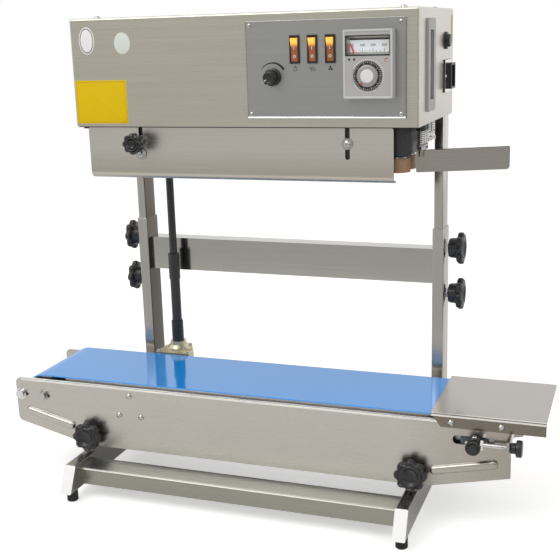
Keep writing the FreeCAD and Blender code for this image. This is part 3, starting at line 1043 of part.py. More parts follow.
def make_cover():
    """Front cover of the sealing works on two open slots, and the knob that holds it."""
    cover = padded("cover_sheet_body", "YZ_Plane", [
        ("cover_face", "cover_bottom"), ("cover_face + cover_lip", "cover_bottom"),
        ("cover_face + cover_lip", "cover_bottom + cover_sheet"),
        ("cover_back", "cover_bottom + cover_sheet"),
        ("cover_back", "cover_top"), ("cover_face", "cover_top"),
    ], "cover_left", "cover_length")
    corners = shape_of(cover).Vertexes
    outer_y = min(vertex.Y for vertex in corners)
    lowest = min(vertex.Z for vertex in corners)
    sheet_size = sizes["cover_sheet"]
    rounded(cover, "cover_outer_bend", "cover_bend", lambda edge: along(edge, 0)
            and abs(middle(edge).y - outer_y) < touching and abs(middle(edge).z - lowest) < touching)
    rounded(cover, "cover_inner_bend", "cover_bend - cover_sheet", lambda edge: along(edge, 0)
            and abs(middle(edge).y - outer_y - sheet_size) < touching
            and abs(middle(edge).z - lowest - sheet_size) < touching)
    slots = [rectangle("cover_slot_%s_x" % side, "cover_top + (cover_slot_spare - cover_slot_drop) / 2",
                       "cover_slot_width", "cover_slot_drop + cover_slot_spare")
             for side in ("left", "right")]
    pierced(cover, "cover_slots", "XZ_Plane", [], slots)
    ends = shape_of(cover).BoundBox
    highest = ends.ZMax
    rounded(cover, "cover_corners", "cover_corner", lambda edge: along(edge, 1)
            and abs(middle(edge).z - highest) < touching
            and min(abs(middle(edge).x - ends.XMin), abs(middle(edge).x - ends.XMax)) < touching)
    slot_floor = highest - sizes["cover_slot_drop"]
    rounded(cover, "cover_slot_ends", "cover_slot_width * slot_end", lambda edge: along(edge, 1)
            and abs(middle(edge).z - slot_floor) < touching)
    keep(cover, "seal_cover")
    star_knob("cover_knob", "cover_knob_radius", "cover_knob_depth", "cover_knob_notch", "cover_knob_neck",
              "cover_knob_neck_radius", "cover_stud_radius", "cover_tab_back - cover_face", "cover_knob_cap",
              "cover_slot_left_x", "cover_face - running_gap", "cover_stud_z", faceFront)


def make_motor():
    low = "upper_gear + gear_face + gear_bore_step"
    gearbox = block("motor_block", "motor_x", "shaft_y", low, "motor_box_length", "motor_box_depth",
                    "motor_box_height")
    bracket = box("motor_bracket", "motor_x + motor_box_length / 2 - gear_face",
                  "shaft_y - motor_box_depth / 2", "base_top", "gear_face", "motor_box_depth",
                  "(%s) - base_top" % low)
    barrel = rod("motor_barrel", "motor_x + motor_box_length / 2", "shaft_y", low + " + motor_box_height / 2",
                 "motor_radius", "motor_length", faceRight)
    bore = rod("motor_bore", "motor_x", "shaft_y", low, "pinion_shaft_radius + bore_clearance",
               "motor_box_height / 2")
    keep(cut("motor_done", fuse("motor_solid", gearbox, bracket, barrel), bore), "gear_motor")
    keep(turned("pinion", [
        ("0", "upper_gear"), ("pinion_radius", "upper_gear"), ("pinion_radius", "upper_gear + gear_face"),
        ("pinion_shaft_radius", "upper_gear + gear_face"),
        ("pinion_shaft_radius", low + " + motor_box_height / 2 - running_gap"),
        ("0", low + " + motor_box_height / 2 - running_gap"),
    ], "motor_x", "shaft_y", "0"), "motor_pinion")


def write_parts():
    doc.recompute()
    for obj in doc.Objects:
        if "Invalid" in obj.State or "Error" in obj.State:
            raise RuntimeError("%s did not build: %s" % (obj.Label, obj.State))
    os.makedirs("parts", exist_ok=True)
    for node in nodes:
        if not node.Shape.isValid() or not node.Shape.Solids:
            raise RuntimeError(node.Label + " is not a valid solid")
        node.Shape.exportStep("parts/%s.step" % node.Label)
        print("%-24s %d solid(s), %.0f mm3" % (node.Label, len(node.Shape.Solids), node.Shape.Volume))
    print("%d pieces" % len(nodes))


make_base()
make_posts()
make_conveyor_frame()
make_rollers()
make_belt_and_table()
make_conveyor_drive()
make_case()
make_panel()
make_switches()
make_controller()
make_side_fittings()
make_sealing_works()
make_cover()
make_motor()
write_parts()
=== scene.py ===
from math import cos, pi, radians, sin, sqrt

import bmesh
import bpy
from mathutils import Matrix, Vector


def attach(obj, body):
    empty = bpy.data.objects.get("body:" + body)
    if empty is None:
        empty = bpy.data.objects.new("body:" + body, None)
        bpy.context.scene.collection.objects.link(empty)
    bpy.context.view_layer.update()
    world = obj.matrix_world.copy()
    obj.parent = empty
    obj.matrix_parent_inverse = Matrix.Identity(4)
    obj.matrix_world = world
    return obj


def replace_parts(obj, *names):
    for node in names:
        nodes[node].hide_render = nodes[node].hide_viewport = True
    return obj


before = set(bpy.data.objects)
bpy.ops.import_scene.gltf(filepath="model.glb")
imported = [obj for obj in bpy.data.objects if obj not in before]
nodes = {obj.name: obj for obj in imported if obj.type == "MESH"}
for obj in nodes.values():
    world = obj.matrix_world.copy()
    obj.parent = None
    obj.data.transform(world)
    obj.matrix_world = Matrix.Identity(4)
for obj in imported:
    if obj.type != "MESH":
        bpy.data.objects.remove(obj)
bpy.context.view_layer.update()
mm = 0.001
print("frame loaded:", len(nodes), "nodes")


# camera at the photograph's place and angle

camera = {
    "place": (0.41951, -1.12828, 0.55966),
    "yaw": 20.074,        # degrees, turned from straight back towards the left
    "pitch": 13.821,      # degrees, looking down
    "roll": -1.71,
    "focalPixels": 1009.231,
    "imagePixels": 560,
    "sensor": 36.0,
}


def show(obj):
    bpy.context.scene.collection.objects.link(obj)


def setCamera():
    yaw, pitch, roll = [radians(camera[name]) for name in ("yaw", "pitch", "roll")]
    data = bpy.data.cameras.new("photoCamera")
    data.sensor_width = camera["sensor"]
    data.lens = camera["focalPixels"] / camera["imagePixels"] * camera["sensor"]
    data.clip_start = 0.01
    obj = bpy.data.objects.new("photoCamera", data)
    lean = Matrix.Rotation(pi / 2 - pitch, 4, "X") @ Matrix.Rotation(roll, 4, "Z")
    obj.matrix_world = Matrix.Translation(camera["place"]) @ Matrix.Rotation(yaw, 4, "Z") @ lean
    show(obj)
    bpy.context.scene.camera = obj


setCamera()
print("camera set")


# studio: white surroundings, a greyer room in front, pale floor, one soft key and one fill

studio = {
    "skyLight": 0.62,          # world strength for diffuse light
    "skyColour": (1, 0.99, 0.97),
    "frontShade": 0.58,        # what metal shows of the room in front of the machine
    "cornerShade": 0.45,       # a darker screen at the front right, seen in round edges
    "floorHalf": 3.5,
    "floorFront": -0.8,
    "floorBack": 5.0,
    "floorColour": (0.9, 0.9, 0.895),
    "floorGlow": 0.46,         # lifts the seen floor to white and keeps the shadow
    "floorMirror": 0.12,       # the same for the floor that metal shows
    "lampAim": (0, 0, 0.3),
    "keyPlace": (-0.9, -1.6, 2.2),
    "keySize": 1.6,
    "keyPower": 26.0,
    "fillPlace": (1.8, -0.9, 1.3),
    "fillSize": 1.4,
    "fillPower": 9.0,
}


def newNode(tree, kind):
    return tree.nodes.new("ShaderNode" + kind)


def wire(tree, source, node, socket):
    tree.links.new(source, node.inputs[socket])


def setInputs(node, values):
    for socket, value in values.items():
        node.inputs[socket].default_value = value


def axisParts(tree, kind, socket):
    # X, Y and Z of what a node gives
    source = newNode(tree, kind)
    split = newNode(tree, "SeparateXYZ")
    wire(tree, source.outputs[socket], split, 0)
    return split.outputs


def rangeNode(tree, source, fromMin, fromMax, toMin, toMax, smooth=False):
    ramp = newNode(tree, "MapRange")
    if smooth:
        ramp.interpolation_type = "SMOOTHSTEP"
    setInputs(ramp, {"From Min": fromMin, "From Max": fromMax, "To Min": toMin, "To Max": toMax})
    wire(tree, source, ramp, "Value")
    return ramp.outputs["Result"]


def mathNode(tree, operation, first, second):
    # the second value is a number or another node's output
    node = newNode(tree, "Math")
    node.operation = operation
    wire(tree, first, node, 0)
    if isinstance(second, float):
        node.inputs[1].default_value = second
    else:
        wire(tree, second, node, 1)
    return node.outputs[0]


def background(tree, colour, strength=1.0):
    node = newNode(tree, "Background")
    setInputs(node, {"Color": (*colour, 1), "Strength": strength})
    return node


def mixShaders(tree, factor, first, second):
    mix = newNode(tree, "MixShader")
    for place, source in enumerate((factor, first, second)):
        wire(tree, source, mix, place)
    return mix.outputs[0]


def setWorld(scene):
    world = bpy.data.worlds.new("studioSky")
    scene.world = world
    world.use_nodes = True
    tree = world.node_tree
    tree.nodes.clear()
    rays = newNode(tree, "LightPath").outputs
    way = axisParts(tree, "TexCoord", "Generated")
    ahead = rangeNode(tree, way["Y"], -0.1, -0.85, 0, 1, True)
    low = rangeNode(tree, way["Z"], 0.75, 0.1, 0, 1, True)
    room = mathNode(tree, "MULTIPLY", ahead, low)
    screenX = rangeNode(tree, way["X"], 0.2, 0.5, 0, 1, True)
    screenY = rangeNode(tree, way["Y"], -0.05, -0.3, 0, 1, True)
    screen = mathNode(tree, "MULTIPLY", mathNode(tree, "MULTIPLY", screenX, screenY), low)
    grey = rangeNode(tree, room, 0, 1, 1, studio["frontShade"])
    dark = rangeNode(tree, screen, 0, 1, 1, studio["cornerShade"])
    mirrored = background(tree, (1, 1, 1))
    wire(tree, mathNode(tree, "MULTIPLY", grey, dark), mirrored, "Strength")
    white = background(tree, (1, 1, 1))
    soft = background(tree, studio["skyColour"], studio["skyLight"])
    seen = mathNode(tree, "MAXIMUM", rays["Is Camera Ray"], rays["Is Transmission Ray"])
    lit = mixShaders(tree, rays["Is Glossy Ray"], soft.outputs[0], mirrored.outputs[0])
    out = newNode(tree, "OutputWorld")
    wire(tree, mixShaders(tree, seen, lit, white.outputs[0]), out, 0)


def newFinish(name, colour, roughness, metallic=0.0):
    finish = bpy.data.materials.new(name)
    finish.use_nodes = True
    shader = finish.node_tree.nodes["Principled BSDF"]
    setInputs(shader, {"Base Color": (*colour, 1), "Roughness": roughness, "Metallic": metallic})
    return finish, finish.node_tree, shader


def layFloor():
    half = studio["floorHalf"]
    front = studio["floorFront"]
    back = studio["floorBack"]
    mesh = bpy.data.meshes.new("floor")
    corners = [(-half, front, 0), (half, front, 0), (half, back, 0), (-half, back, 0)]
    mesh.from_pydata(corners, [], [(0, 1, 2, 3)])
    floor = bpy.data.objects.new("floor", mesh)
    show(floor)
    paint, tree, shader = newFinish("floorPaint", studio["floorColour"], 0.9)
    rays = newNode(tree, "LightPath").outputs
    seen = rangeNode(tree, rays["Is Camera Ray"], 0, 1, 0, studio["floorGlow"])
    mirrored = rangeNode(tree, rays["Is Glossy Ray"], 0, 1, 0, studio["floorMirror"])
    setInputs(shader, {"Specular IOR Level": 0.0, "Emission Color": (1, 1, 1, 1)})
    wire(tree, mathNode(tree, "ADD", seen, mirrored), shader, "Emission Strength")
    mesh.materials.append(paint)


def addLamp(name):
    place = studio[name + "Place"]
    data = bpy.data.lights.new(name + "Lamp", "AREA")
    data.size = studio[name + "Size"]
    data.energy = studio[name + "Power"]
    lamp = bpy.data.objects.new(name + "Lamp", data)
    aim = Vector(studio["lampAim"]) - Vector(place)
    lamp.matrix_world = Matrix.Translation(place) @ aim.to_track_quat("-Z", "Y").to_matrix().to_4x4()
    show(lamp)


def setStudio():
    scene = bpy.context.scene
    scene.view_settings.view_transform = "Standard"
    setWorld(scene)
    layFloor()
    addLamp("key")
    addLamp("fill")


setStudio()
print("studio set")


# finishes

def speckle(tree, stretch, detail=3.0):
    coords = newNode(tree, "TexCoord")
    scale = newNode(tree, "Mapping")
    noise = newNode(tree, "TexNoise")
    setInputs(scale, {"Scale": stretch})
    setInputs(noise, {"Scale": 1.0, "Detail": detail})
    wire(tree, coords.outputs["Object"], scale, "Vector")
    wire(tree, scale.outputs["Vector"], noise, "Vector")
    return noise.outputs["Fac"]


def evenSpeckle(tree, fineness, detail=3.0):
    return speckle(tree, (fineness,) * 3, detail)


def twoTones(tree, factor, first, second):
    mix = newNode(tree, "Mix")
    mix.data_type = "RGBA"
    setInputs(mix, {"A": (*first, 1), "B": (*second, 1)})
    wire(tree, factor, mix, "Factor")
    return mix.outputs["Result"]


def shaded(tree, source, colour, change):
    dark = [part * (1 - change) for part in colour]
    pale = [min(1.0, part * (1 + change)) for part in colour]
    return twoTones(tree, source, dark, pale)


def mixed(tree, factor, first, second, kind="RGBA"):
    mix = newNode(tree, "Mix")
    mix.data_type = kind
    for socket, source in (("Factor", factor), ("A", first), ("B", second)):
        wire(tree, source, mix, socket)
    return mix.outputs["Result"]


def byFacing(tree, axis):
    # one where a face looks along an axis: "X" either way, "+X" or "-X" one way
    part = axisParts(tree, "NewGeometry", "Normal")[axis[-1]]
    oneWay = "MULTIPLY" if len(axis) > 1 else "ABSOLUTE"
    turned = mathNode(tree, oneWay, part, -1.0 if axis[0] == "-" else 1.0)
    faceLimit = 0.6
    return mathNode(tree, "GREATER_THAN", turned, faceLimit)


def bumped(tree, shader, source, strength, depth):
    bump = newNode(tree, "Bump")
    setInputs(bump, {"Strength": strength, "Distance": depth})
    wire(tree, source, bump, "Height")
    wire(tree, bump.outputs["Normal"], shader, "Normal")


def coat(tree, shader, tone, pattern, low, high, relief):
    # the tone, a pattern that varies the roughness, and the relief: source, strength, depth
    wire(tree, tone, shader, "Base Color")
    wire(tree, rangeNode(tree, pattern, 0.3, 0.7, low, high), shader, "Roughness")
    bumped(tree, shader, *relief)


grainStretch = {      # fine across the brushing, long along it
    "X": (6, 2600, 2600),
    "Y": (2600, 6, 2600),
    "Z": (2600, 2600, 6),
}


def brushedSteel(name, colour, roughness, along, endAlong, grain=0.35, cloud=0.05, turned=(), paintedShadeFade=None,
                 haze=None):
    finish, tree, shader = newFinish(name, colour, roughness, 1.0)
    ends = speckle(tree, grainStretch[endAlong])
    lines = mixed(tree, byFacing(tree, along), speckle(tree, grainStretch[along]), ends, "FLOAT")
    smudge = speckle(tree, (9, 9, 14), 4.0)
    tone = shaded(tree, smudge, colour, cloud)
    for axis, other in turned:        # painted light and shade: faces that look another way get a lighter or darker copy of the tone
        tone = mixed(tree, byFacing(tree, axis), tone, shaded(tree, smudge, other, cloud))
    if paintedShadeFade:                          # painted shade: a darker tone towards one end or edge of the sheet
        axis, start, end, other = paintedShadeFade
        place = axisParts(tree, "TexCoord", "Object")[axis]
        share = rangeNode(tree, place, start * mm, end * mm, 0, 1)
        tone = mixed(tree, share, tone, shaded(tree, smudge, other, cloud))
    if haze:                          # faces that scatter the light more than they mirror
        wire(tree, rangeNode(tree, byFacing(tree, haze), 0, 1, 1, 0.2), shader, "Metallic")
    coat(tree, shader, tone, lines, roughness * 0.8, roughness * 1.25, (lines, grain, 0.00003))
    return finish


def polishedSteel(name, colour, roughness):
    finish, tree, shader = newFinish(name, colour, roughness, 1.0)
    smudge = speckle(tree, (30, 30, 18), 4.0)
    tone = shaded(tree, smudge, colour, 0.04)
    relief = (evenSpeckle(tree, 160), 0.05, 0.0001)
    coat(tree, shader, tone, smudge, roughness * 0.7, roughness * 1.4, relief)
    return finish


def moulded(name, colour, roughness, grain=0.15, grainSize=1500, change=0.06, gloss=0.5):
    finish, tree, shader = newFinish(name, colour, roughness)
    setInputs(shader, {"Specular IOR Level": gloss})
    cloudy = evenSpeckle(tree, 60)
    tone = shaded(tree, cloudy, colour, change)
    relief = (evenSpeckle(tree, grainSize, 2.0), grain, 0.00008)
    coat(tree, shader, tone, cloudy, roughness * 0.85, roughness * 1.15, relief)
    return finish


def castMetal(name, colour, roughness):
    finish, tree, shader = newFinish(name, colour, roughness, 0.85)
    rough = evenSpeckle(tree, 420, 4.0)
    tone = shaded(tree, evenSpeckle(tree, 45), colour, 0.14)
    coat(tree, shader, tone, rough, roughness * 0.8, roughness * 1.2, (rough, 0.35, 0.0003))
    return finish


# sheet steel, castings and other CAD pieces that keep their shape

steelLook = {
    "case": (0.585, 0.555, 0.465),
    "caseSideShade": (0.60, 0.565, 0.515),
    "inletPlate": (0.84, 0.78, 0.75),
    "cover": (0.63, 0.59, 0.53),
    "coverLowShade": (0.50, 0.45, 0.385),
    "plate": (0.50, 0.475, 0.435),
    "plateEndShade": (0.36, 0.32, 0.28),
    "table": (0.44, 0.412, 0.384),
    "tableSkirtShade": (0.19, 0.16, 0.13),
    "guide": (0.40, 0.365, 0.33),
    "panel": (0.39, 0.392, 0.37),
    "post": (0.52, 0.50, 0.46),
    "postInsideShade": (0.125, 0.108, 0.092),
    "bar": (0.475, 0.465, 0.425),
    "barTopLit": (0.60, 0.605, 0.565),
    "barFrontShade": (0.315, 0.31, 0.268),
    "leg": (0.58, 0.575, 0.55),
    "legSideShade": (0.32, 0.31, 0.285),
    "legNoseHighlight": (0.98, 0.98, 0.97),
    "bright": (0.66, 0.655, 0.64),
    "screw": (0.46, 0.455, 0.44),
    "dull": (0.30, 0.30, 0.30),
    "cooler": (0.36, 0.36, 0.36),
}
bodyLook = {
    "base": (0.016, 0.017, 0.017),
    "heater": (0.5, 0.34, 0.12),
    "gold": (0.64, 0.59, 0.42),
    "motor": (0.035, 0.04, 0.045),
    "shaft": (0.018, 0.02, 0.022),
    "foot": (0.012, 0.012, 0.012),
}


def dress(finish, *names):
    for name in names:
        slots = nodes[name].data.materials
        slots.clear()
        slots.append(finish)


def dressFrame():
    look = steelLook
    # painted shade: the case's sides, looking along X, get their own tone, set darker to stand in for their
    # shade
    case = brushedSteel("brushedCase", look["case"], 0.3, "X", "Z", 0.07, turned=[("X", look["caseSideShade"])])
    dress(case, "head_case")
    # painted shade: the cover darkens towards its lower edge
    cover = brushedSteel("brushedCover", look["cover"], 0.3, "X", "Y", 0.09,
                         paintedShadeFade=("Z", 428, 398, look["coverLowShade"]))
    dress(cover, "seal_cover")
    # painted shade: the front and rear plates darken towards their right-hand ends
    plate = brushedSteel("brushedPlate", look["plate"], 0.28, "X", "Y", 0.13,
                         paintedShadeFade=("X", 170, 310, look["plateEndShade"]))
    dress(plate, "conveyor_front_plate", "conveyor_rear_plate")
    # painted shade: the table's front skirt, looking along Y, is darker than its top
    table = brushedSteel("brushedTable", look["table"], 0.2, "X", "Y", 0.08, 0.03,
                         [("Y", look["tableSkirtShade"])])
    dress(table, "side_table")
    dress(brushedSteel("brushedGuide", look["guide"], 0.26, "X", "Y", 0.06), "infeed_guides")
    # painted light: the legs' sides are darker and their front noses a near-white painted highlight,
    # scattering more than they mirror
    leg = brushedSteel("polishedLeg", look["leg"], 0.2, "Y", "Z", 0.12,
                       turned=[("X", look["legSideShade"]), ("Y", look["legNoseHighlight"])], haze="Y")
    dress(leg, "left_leg", "right_leg", "conveyor_brackets")
    dress(brushedSteel("polishedBar", look["bar"], 0.14, "X", "Y", 0.12), "post_crossbar")
    # painted light: the front crossbar is lighter on top and darker on its front, looking along Y
    baseBar = brushedSteel("polishedBaseBar", look["barTopLit"], 0.3, "X", "Y", 0.1,
                           turned=[("Y", look["barFrontShade"])])
    dress(baseBar, "front_crossbar")
    dress(polishedSteel("brightFastener", look["bright"], 0.12), "tie_rods")
    dress(polishedSteel("screwSteel", look["screw"], 0.2), "conveyor_screws", "head_screws")
    roller = brushedSteel("rollerSteel", look["dull"], 0.3, "Y", "X", 0.2)
    dress(roller, "drive_roller", "idler_roller", "tension_roller", "slider_bed")
    wheel = brushedSteel("wheelSteel", look["dull"], 0.28, "Z", "X", 0.2)
    dress(wheel, "front_drive_wheel", "rear_drive_wheel", "front_idler_wheel", "rear_idler_wheel",
          "motor_pinion")
    dress(brushedSteel("coolerAlloy", look["cooler"], 0.34, "X", "Y"), "cooling_blocks")
    look = bodyLook
    dress(moulded("baseBlack", look["base"], 0.42, 0.3, 700), "head_base_plate")
    dress(castMetal("heaterBrass", look["heater"], 0.35), "heater_blocks")
    dress(castMetal("goldCasting", look["gold"], 0.36), "bevel_gearbox")
    dress(moulded("motorPaint", look["motor"], 0.4), "gear_motor")
    dress(moulded("shaftBlack", look["shaft"], 0.28, 0.1), "upper_drive_shaft", "lower_drive_shaft",
          "tension_axle")
    dress(moulded("footRubber", look["foot"], 0.7, 0.3, 900), "rubber_feet")


dressFrame()
print("frame dressed")


# belts

beltLook = {
    "blue": (0.004, 0.285, 0.80),
    "blueUnderShade": (0.20, 0.22, 0.24),
    "blueRoughness": 0.09,
    "band": (0.26, 0.15, 0.085),
}


def dressBelts():
    look = beltLook
    finish, tree, shader = newFinish("blueBelt", look["blue"], look["blueRoughness"])
    cloudy = evenSpeckle(tree, 14)
    # painted shade: faces looking down, the belt's lower run, get a dark grey tone instead of the blue
    under = shaded(tree, cloudy, look["blueUnderShade"], 0.06)
    tone = mixed(tree, byFacing(tree, "-Z"), shaded(tree, cloudy, look["blue"], 0.06), under)
    coat(tree, shader, tone, cloudy, 0.07, 0.12, (speckle(tree, (26, 34, 26), 1.0), 0.12, 0.0006))
    setInputs(shader, {"IOR": 1.9})
    dress(finish, "conveyor_belt")
    band, tree, shader = newFinish("sealBand", look["band"], 0.45)
    weave = evenSpeckle(tree, 900, 1.0)
    wire(tree, shaded(tree, weave, look["band"], 0.18), shader, "Base Color")
    bumped(tree, shader, weave, 0.25, 0.0001)
    dress(band, "seal_belts")


dressBelts()
print("belts dressed")


# plastics and the control panel's own metal

plasticLook = {
    "black": (0.014, 0.014, 0.015),
    "housing": (0.012, 0.012, 0.012),
    "controller": (0.42, 0.405, 0.405),
    "handle": (0.34, 0.345, 0.335),
    "red": (0.62, 0.03, 0.03),
    "glass": (0.98, 0.99, 0.99),
}
knobBlack = moulded("knobBlack", plasticLook["black"], 0.3, 0.12)
chromeTrim = polishedSteel("chromeTrim", steelLook["bright"], 0.1)
controllerGrey = moulded("controllerGrey", plasticLook["controller"], 0.42, 0.1, change=0.02)


def dressPlastics():
    dress(knobBlack, "left_upper_clamp_knob", "left_lower_clamp_knob", "right_upper_clamp_knob",
          "right_lower_clamp_knob", "left_conveyor_knob", "right_conveyor_knob", "tension_lock_knob",
          "cover_knob", "speed_knob", "controller_dial", "tension_screw")
    dress(moulded("housingBlack", plasticLook["housing"], 0.38, 0.2), "switch_housings", "fuse_holder",
          "power_inlet")
    dress(controllerGrey, "controller_housing")
    dress(moulded("handleGrey", plasticLook["handle"], 0.45, 0.2), "carry_handles")
    dress(brushedSteel("panelAlloy", steelLook["panel"], 0.36, "X", "Y", 0.2, 0.03), "control_panel")
    dress(moulded("pointerRed", plasticLook["red"], 0.4), "controller_pointer")
    glass, tree, shader = newFinish("windowGlass", plasticLook["glass"], 0.03)
    setInputs(shader, {"Transmission Weight": 1.0, "IOR": 1.12})
    bumped(tree, shader, evenSpeckle(tree, 40, 1.0), 0.02, 0.0002)
    dress(glass, "controller_window")


dressPlastics()
print("plastics dressed")


# mesh tools for the added pieces, sizes in millimetres

toLeft, toRight = (-1, 0, 0), (1, 0, 0)
toFront = (0, -1, 0)
upward, downward = (0, 0, 1), (0, 0, -1)
depthAxis, heightAxis, lengthAxis = 1, 2, 0


def newPiece(name, shell, finish, body, sharp=38):
    bmesh.ops.recalc_face_normals(shell, faces=shell.faces[:])
    mesh = bpy.data.meshes.new(name)
    shell.to_mesh(mesh)
    shell.free()
    for face in mesh.polygons:
        face.use_smooth = True
    mesh.set_sharp_from_angle(angle=radians(sharp))
    mesh.materials.append(finish)
    piece = bpy.data.objects.new(name, mesh)
    show(piece)
    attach(piece, body)
    return piece


def formPiece(name, finish, body, form, *sizes, sharp=38):
    # a piece of one form: a function below that fills a new mesh
    shell = bmesh.new()
    form(shell, *sizes)
    return newPiece(name, shell, finish, body, sharp)


def addRing(shell, spots):
    return [shell.verts.new(spot) for spot in spots]


def joinRings(shell, rings, closeEnds=True):
    count = len(rings[0])
    for first, second in zip(rings, rings[1:]):
        for step in range(count):
            after = (step + 1) % count
            shell.faces.new((first[step], first[after], second[after], second[step]))
    if closeEnds:
        shell.faces.new(list(reversed(rings[0])))
        shell.faces.new(rings[-1])


def stack(shell, rows, axis, closed=False):
    # outlines with their levels along an axis, joined up, or joined around and back to the first
    rings = []
    for outline, level in rows:
        spots = [[*spot[:axis], level, *spot[axis:]] for spot in outline]
        rings.append(addRing(shell, [Vector(spot) * mm for spot in spots]))
    if closed:
        rings.append(rings[0])
    joinRings(shell, rings, not closed)


def fullTurns(steps):
    return [2 * pi * step / steps for step in range(steps)]


def sweep(shell, rows, turns, spotAt):
    # a ring for each row, with a point for each turn
    joinRings(shell, [addRing(shell, [spotAt(row, turn) for turn in turns]) for row in rows])


def turnedForm(shell, place, facing, profile, steps=48, lobes=0):
    # rows of the profile: along the axis, radius, and how deep the valleys between lobes are
    axis = Vector(facing)
    side = axis.orthogonal().normalized()
    other = axis.cross(side)

    def spotAt(row, turn):
        depth = row[2] if len(row) > 2 else 0
        valley = (0.5 - 0.5 * cos(lobes * turn)) ** 1.5
        out = (side * cos(turn) + other * sin(turn)) * (row[1] * (1 - depth * valley) * mm)
        return (Vector(place) + axis * row[0]) * mm + out

    sweep(shell, profile, fullTurns(steps), spotAt)


def turnedPiece(name, place, facing, profile, finish, body, steps=48, lobes=0, sharp=38):
    return formPiece(name, finish, body, turnedForm, place, facing, profile, steps, lobes, sharp=sharp)


def around(centre, reach, turn):
    return centre[0] + reach * cos(turn), centre[1] + reach * sin(turn)


def roundedOutline(left, right, low, high, radius, steps=6):
    corners = [(right - radius, high - radius, 0), (left + radius, high - radius, 90),
               (left + radius, low + radius, 180), (right - radius, low + radius, 270)]
    outline = []
    for across, up, start in corners:
        for step in range(steps + 1):
            outline.append(around((across, up), radius, radians(start + 90 * step / steps)))
    return outline


def insetRows(left, right, low, high, radius, rows):
    # a rounded rectangle, drawn in by each row's inset, at that row's level
    return [(roundedOutline(left + inset, right - inset, low + inset, high - inset,
                            max(0.15, radius - inset)), level) for inset, level in rows]


def slab(shell, outline, axis, rows):
    # a plate square to an axis: each row has a level and how far the edge is drawn in there
    sides = list(zip(*outline))
    middle = [sum(side) / len(side) for side in sides]
    half = [max(abs(spot - centre) for spot in side) for side, centre in zip(sides, middle)]
    drawn = []
    for level, inset in rows:
        moved = []
        for side, centre, reach in zip(sides, middle, half):
            moved.append([centre + (spot - centre) * (1 - inset / reach) for spot in side])
        drawn.append((list(zip(*moved)), level))
    stack(shell, drawn, axis)


def frontSlab(shell, outline, back, front, edge=0.0):
    # a plate in the front plane, with a small round at its front edge
    rows = [(back, 0.0), (front, 0.0)]
    if edge:
        rows[1:] = [(front + edge, 0.0), (front + edge * 0.3, edge * 0.3), (front, edge)]
    slab(shell, outline, depthAxis, rows)


def sideSlab(shell, outline, start, end, edge=0.0):
    # a plate on the right-hand side: outline points are depth and height
    slab(shell, outline, lengthAxis, [(start, 0.0), (end - edge, 0.0), (end, edge)])


def longStrip(name, ends, profile, finish, body):
    # a strip along the machine: profile points are depth and height
    rows = [(profile, end) for end in ends]
    return formPiece(name, finish, body, stack, rows, lengthAxis, sharp=60)


def rectangleRing(name, limits, rows, radius, finish, body):
    # limits are left, right, low and high
    rows = insetRows(*limits, radius, rows)
    return formPiece(name, finish, body, stack, rows, depthAxis, True, sharp=50)


def arcPoints(centre, radius, first, last, steps=8):
    turns = [radians(first + (last - first) * step / steps) for step in range(steps + 1)]
    return [around(centre, radius, turn) for turn in turns]


def flatArc(shell, centre, rows, depth, thick):
    # a printed arc: rows of angle in degrees, inner radius, outer radius
    layers = []
    for back in (depth, depth - thick):
        line = []
        for angle, inner, outer in rows:
            turn = radians(angle)
            way = Vector((cos(turn), 0, sin(turn)))
            start = Vector((centre[0], back, centre[1]))
            line.append(addRing(shell, [(start + way * inner) * mm, (start + way * outer) * mm]))
        layers.append(line)
    lower, upper = layers
    count = len(rows)
    for step in range(count - 1):
        after = step + 1
        shell.faces.new((upper[step][0], upper[after][0], upper[after][1], upper[step][1]))
        for edge in (0, 1):
            shell.faces.new((lower[step][edge], lower[after][edge], upper[after][edge], upper[step][edge]))
    for step in (0, count - 1):
        shell.faces.new((lower[step][0], lower[step][1], upper[step][1], upper[step][0]))


def flatBar(shell, start, end, width, depth, thick):
    # a printed straight mark between two places on the front
    first = Vector(start)
    last = Vector(end)
    way = (last - first).normalized()
    side = Vector((-way.y, way.x)) * width / 2
    corners = [first - side, last - side, last + side, first + side]
    stack(shell, [(corners, depth), (corners, depth - thick)], depthAxis)


def rayBar(shell, centre, angle, inner, outer, width, depth, thick):
    # a straight mark that points away from a centre
    turn = radians(angle)
    flatBar(shell, around(centre, inner, turn), around(centre, outer, turn), width, depth, thick)


# posts: rounded tubes, the outer pair on foot plates

postWork = {
    "places": (("left", -220.0), ("right", 186.0)),
    "middle": 98.0,
    "outer": (15.0, 32.0, 46.0, 318.5),     # width, depth, low, high
    "inner": (12.0, 29.0, 153.5, 456.0),
    "corner": 1.9,
    "wall": 1.2,
    "foot": (34.0, 6.0),                    # width, height
    "footCorner": 2.5,
}


def postRows(x, width, depth, corner, rows):
    middle = postWork["middle"]
    return insetRows(x - width / 2, x + width / 2, middle - depth / 2, middle + depth / 2, corner, rows)


def roundTube(shell, x, size):
    width, depth, low, high = size
    wall = postWork["wall"]
    rows = ((0, low), (0, high - 0.5), (0.15, high - 0.15), (0.5, high), (wall, high), (wall, low))
    stack(shell, postRows(x, width, depth, postWork["corner"], rows), heightAxis, True)


def footPlate(shell, x):
    width, height = postWork["foot"]
    depth, low = postWork["outer"][1:3]
    rows = ((0.4, low), (0, low + 0.4), (0, low + height - 1), (1, low + height))
    stack(shell, postRows(x, width, depth, postWork["footCorner"], rows), heightAxis)


def footedTube(shell, x, size):
    roundTube(shell, x, size)
    footPlate(shell, x)


